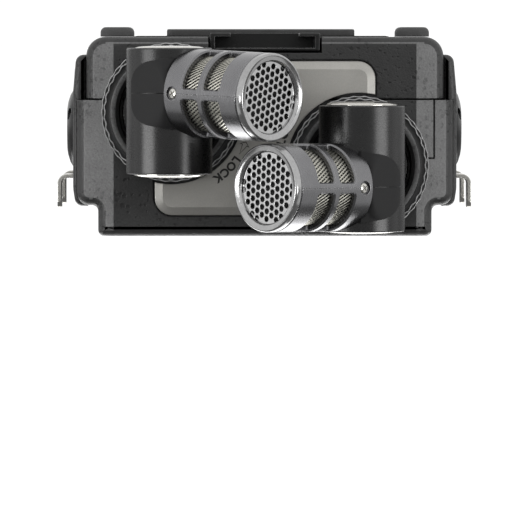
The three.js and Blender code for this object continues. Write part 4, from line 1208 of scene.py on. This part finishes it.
def ports():
    phones, usb, slider = (centre_of(name) for name in ("phones_jack", "usb_port", "power_slider"))
    low = span("phones_jack")[0].x
    jack = join(around(-32.6, -20, phones, 4, 4, 0.5),
                lathe([(0, -32), (3.5, -32), (3.5, low + 0.35), (3.2, low + 0.05), (2.4, low),
                       (2.1, low + 0.2), (0, low + 0.4)], "X", (0, phones.y, phones.z), 64))
    cut(jack, rod(1.8, -36, -22, "X", (0, phones.y, phones.z), 48))
    piece("phones_socket", jack, GLOSS, "recorder", ["phones_jack"])
    high = span("usb_port")[1].x
    shell = cut(around(26, high, usb, 4.6, 1.6, 1.55), around(27.5, 36, usb, 4.15, 1.15, 1.1))
    join(shell, around(26.5, 33.2, usb, 3.2, 0.35, 0.1))
    piece("usb_shell", shell, STEEL, "recorder", ["usb_port"])
    low, high = span("power_slider")
    knob = prism(rectangle(low.y, high.y, slider.z - 1.8, slider.z + 1.8, 0.9), "X", 34.2, high.x, (0, 0.2))
    cut(knob, *[box(high.x - 0.35, 40, y - 0.25, y + 0.25, slider.z - 1.3, slider.z + 1.3)
                for y in (slider.y + k * 1.1 for k in (-2, -1, 0, 1, 2))])
    join(knob, around(low.x, 34.3, slider, 1, 0.6))
    piece("power_knob", knob, KEYS, "power_slider", ["power_slider"])


# ---------------------------------------------------------------- back


def back_fittings():
    low, high = span("accessory_shoe")
    shoe = prism(rectangle(low.x, high.x, low.z, high.z, 0.35), "Y", low.y, high.y, (0.3, 0.3))
    cut(shoe, box(low.x + 0.9, high.x - 0.9, low.y + 1.2, PANEL_Y + 1, low.z + 0.6, high.z - 0.6))
    cut(shoe, box(-6.4, 6.4, low.y + 1.2, PANEL_Y + 1, 0, high.z - 1))
    piece("shoe_rail", shoe, GLOSS, "recorder", ["accessory_shoe"])
    for side in UNITS:
        foot = prism(footprint(f"foot_{side}", 0, 2.2), "Z", 0, span(f"foot_{side}")[1].z, (1.0, 0), 5)
        piece(f"foot_pad_{side}", foot, RUBBER, "recorder", [f"foot_{side}"])
    low, high = span("tripod_bushing")
    at, pitch, bore = (low + high) / 2, 1.27, 2.7
    thread = []
    for k in range(int((high.z - low.z) / pitch)):
        z = low.z + 0.2 + k * pitch
        thread += [(bore + 0.5, z), (bore, z + pitch * 0.45), (bore, z + pitch * 0.6)]
    bushing = lathe([(bore + 0.7, low.z), *thread, (bore + 0.4, high.z), (high.x - at.x, high.z),
                     (high.x - at.x, low.z + 0.15), (high.x - at.x - 0.2, low.z), (bore + 0.7, low.z)],
                    "Z", (at.x, at.y, 0), 64)
    piece("tripod_thread", bushing, STEEL, "recorder", ["tripod_bushing"])


def inside():
    """The inner pieces keep their CAD shapes and get their own finishes."""
    finishes = {
        "display_panel": SCREEN, "main_board": BOARD, "speaker": SATIN, "card_slot": STEEL,
        "mic_left_capsule": HOLLOW, "mic_right_capsule": HOLLOW, "battery_springs": STEEL,
        "battery_contacts": STEEL, **{f"battery_{n}": CELL for n in range(1, 5)},
    }
    for name, material in finishes.items():
        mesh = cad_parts[name].data
        mesh.materials.clear()
        mesh.materials.append(material)


# ---------------------------------------------------------------- stage, lights and camera


def floor_surface():
    """A pale matt floor with a little light of its own, so that it stays white all round."""
    material = bpy.data.materials.new("floor_white")
    material.use_nodes = True
    shader = material.node_tree.nodes["Principled BSDF"]
    for name, value in (("Base Color", grey(0.1)), ("Roughness", 0.9), ("Specular IOR Level", 0.0),
                        ("Emission Color", grey(1)), ("Emission Strength", 1.0)):
        shader.inputs[name].default_value = value
    return material


def add_floor():
    half = 12.0
    mesh = bpy.data.meshes.new("floor")
    corners = [(-half, -half, 0), (half, -half, 0), (half, half, 0), (-half, half, 0)]
    mesh.from_pydata(corners, [], [(0, 1, 2, 3)])
    floor = bpy.data.objects.new("floor", mesh)
    mesh.materials.append(floor_surface())
    bpy.context.scene.collection.objects.link(floor)


def add_light(name, place, target, size, power):
    """A soft rectangular light that points at a target."""
    data = bpy.data.lights.new(name, "AREA")
    data.shape = "RECTANGLE"
    data.size, data.size_y = size
    data.energy = power
    light = bpy.data.objects.new(name, data)
    light.location = place
    light.rotation_mode = "QUATERNION"
    light.rotation_quaternion = (Vector(target) - Vector(place)).to_track_quat("-Z", "Y")
    light.visible_camera = False
    bpy.context.scene.collection.objects.link(light)


LIGHTS_AWAY = 1.5                  # metres from the object's middle to the lights round it


def add_lights():
    """A light overhead and seven round the object: angle from the microphone end, height, size, radiance."""
    middle = (0, 0, 0.02)
    add_light("overhead", (0, -0.8, 1.4), middle, (1.3, 1.3), 8)
    for name, angle, z, width, height, radiance in (
            ("mic_end_left", -56, 0.12, 0.85, 0.3, 9), ("mic_end_right", 51, 0.12, 0.85, 0.3, 8),
            ("left", -95, 0.42, 0.8, 0.9, 0.6), ("right", 95, 0.42, 0.8, 0.9, 0.6),
            ("dial_end_left", -145, 1, 0.9, 0.9, 4), ("dial_end_right", 145, 1, 0.9, 0.9, 4),
            ("behind", 180, 1, 0.9, 0.9, 3)):
        t = math.radians(angle)
        place = (LIGHTS_AWAY * math.sin(t), LIGHTS_AWAY * math.cos(t), z)
        add_light(name, place, middle, (width, height), radiance * math.pi * width * height)


def add_world():
    """White behind the object, and a dimmer white where it only lights and reflects."""
    world = bpy.data.worlds.new("studio")
    world.use_nodes = True
    bpy.context.scene.world = world
    tree = world.node_tree
    seen = node(tree, "ShaderNodeLightPath").outputs["Is Camera Ray"]
    background = tree.nodes["Background"]
    tree.links.new(ranged(tree, seen, 0.0, 1.0, 0.2, 1.1), background.inputs["Strength"])
    background.inputs["Color"].default_value = grey(1)


def add_camera():
    """Level with the recorder and facing its microphone end, with the recorder's back upwards."""
    data = bpy.data.cameras.new("camera")
    data.sensor_width = 36
    data.lens = 422.5
    data.clip_start = 0.01
    camera = bpy.data.objects.new("camera", data)
    place = Vector((-8, PANEL_Y + 1150, 4)) * MM
    target = Vector((0, PANEL_Y, 44)) * MM      # past the recorder's front, so that it fills the upper half
    back = (place - target).normalized()
    right = Vector((0, 0, -1)).cross(back).normalized()
    turn = Matrix((right, back.cross(right), back)).transposed()
    camera.matrix_world = Matrix.Translation(place) @ turn.to_4x4()
    bpy.context.scene.collection.objects.link(camera)
    bpy.context.scene.camera = camera


def main():
    bpy.context.scene.view_settings.view_transform = "Standard"
    front_shell()
    back_shell()
    back_screws()
    battery_door()
    display()
    dial()
    keys()
    lenses()
    labels()
    end_fittings()
    for side in UNITS:
        mic_body(side)
        neck(side)
        tube(side)
        woven_screen(side)
        front_ring(side)
        front_disc(side)
        lock_ring(side)
    plate()
    plate_marks()
    side_plates()
    input_jacks()
    latches()
    ports()
    back_fittings()
    inside()
    add_floor()
    add_world()
    add_lights()
    add_camera()


main()
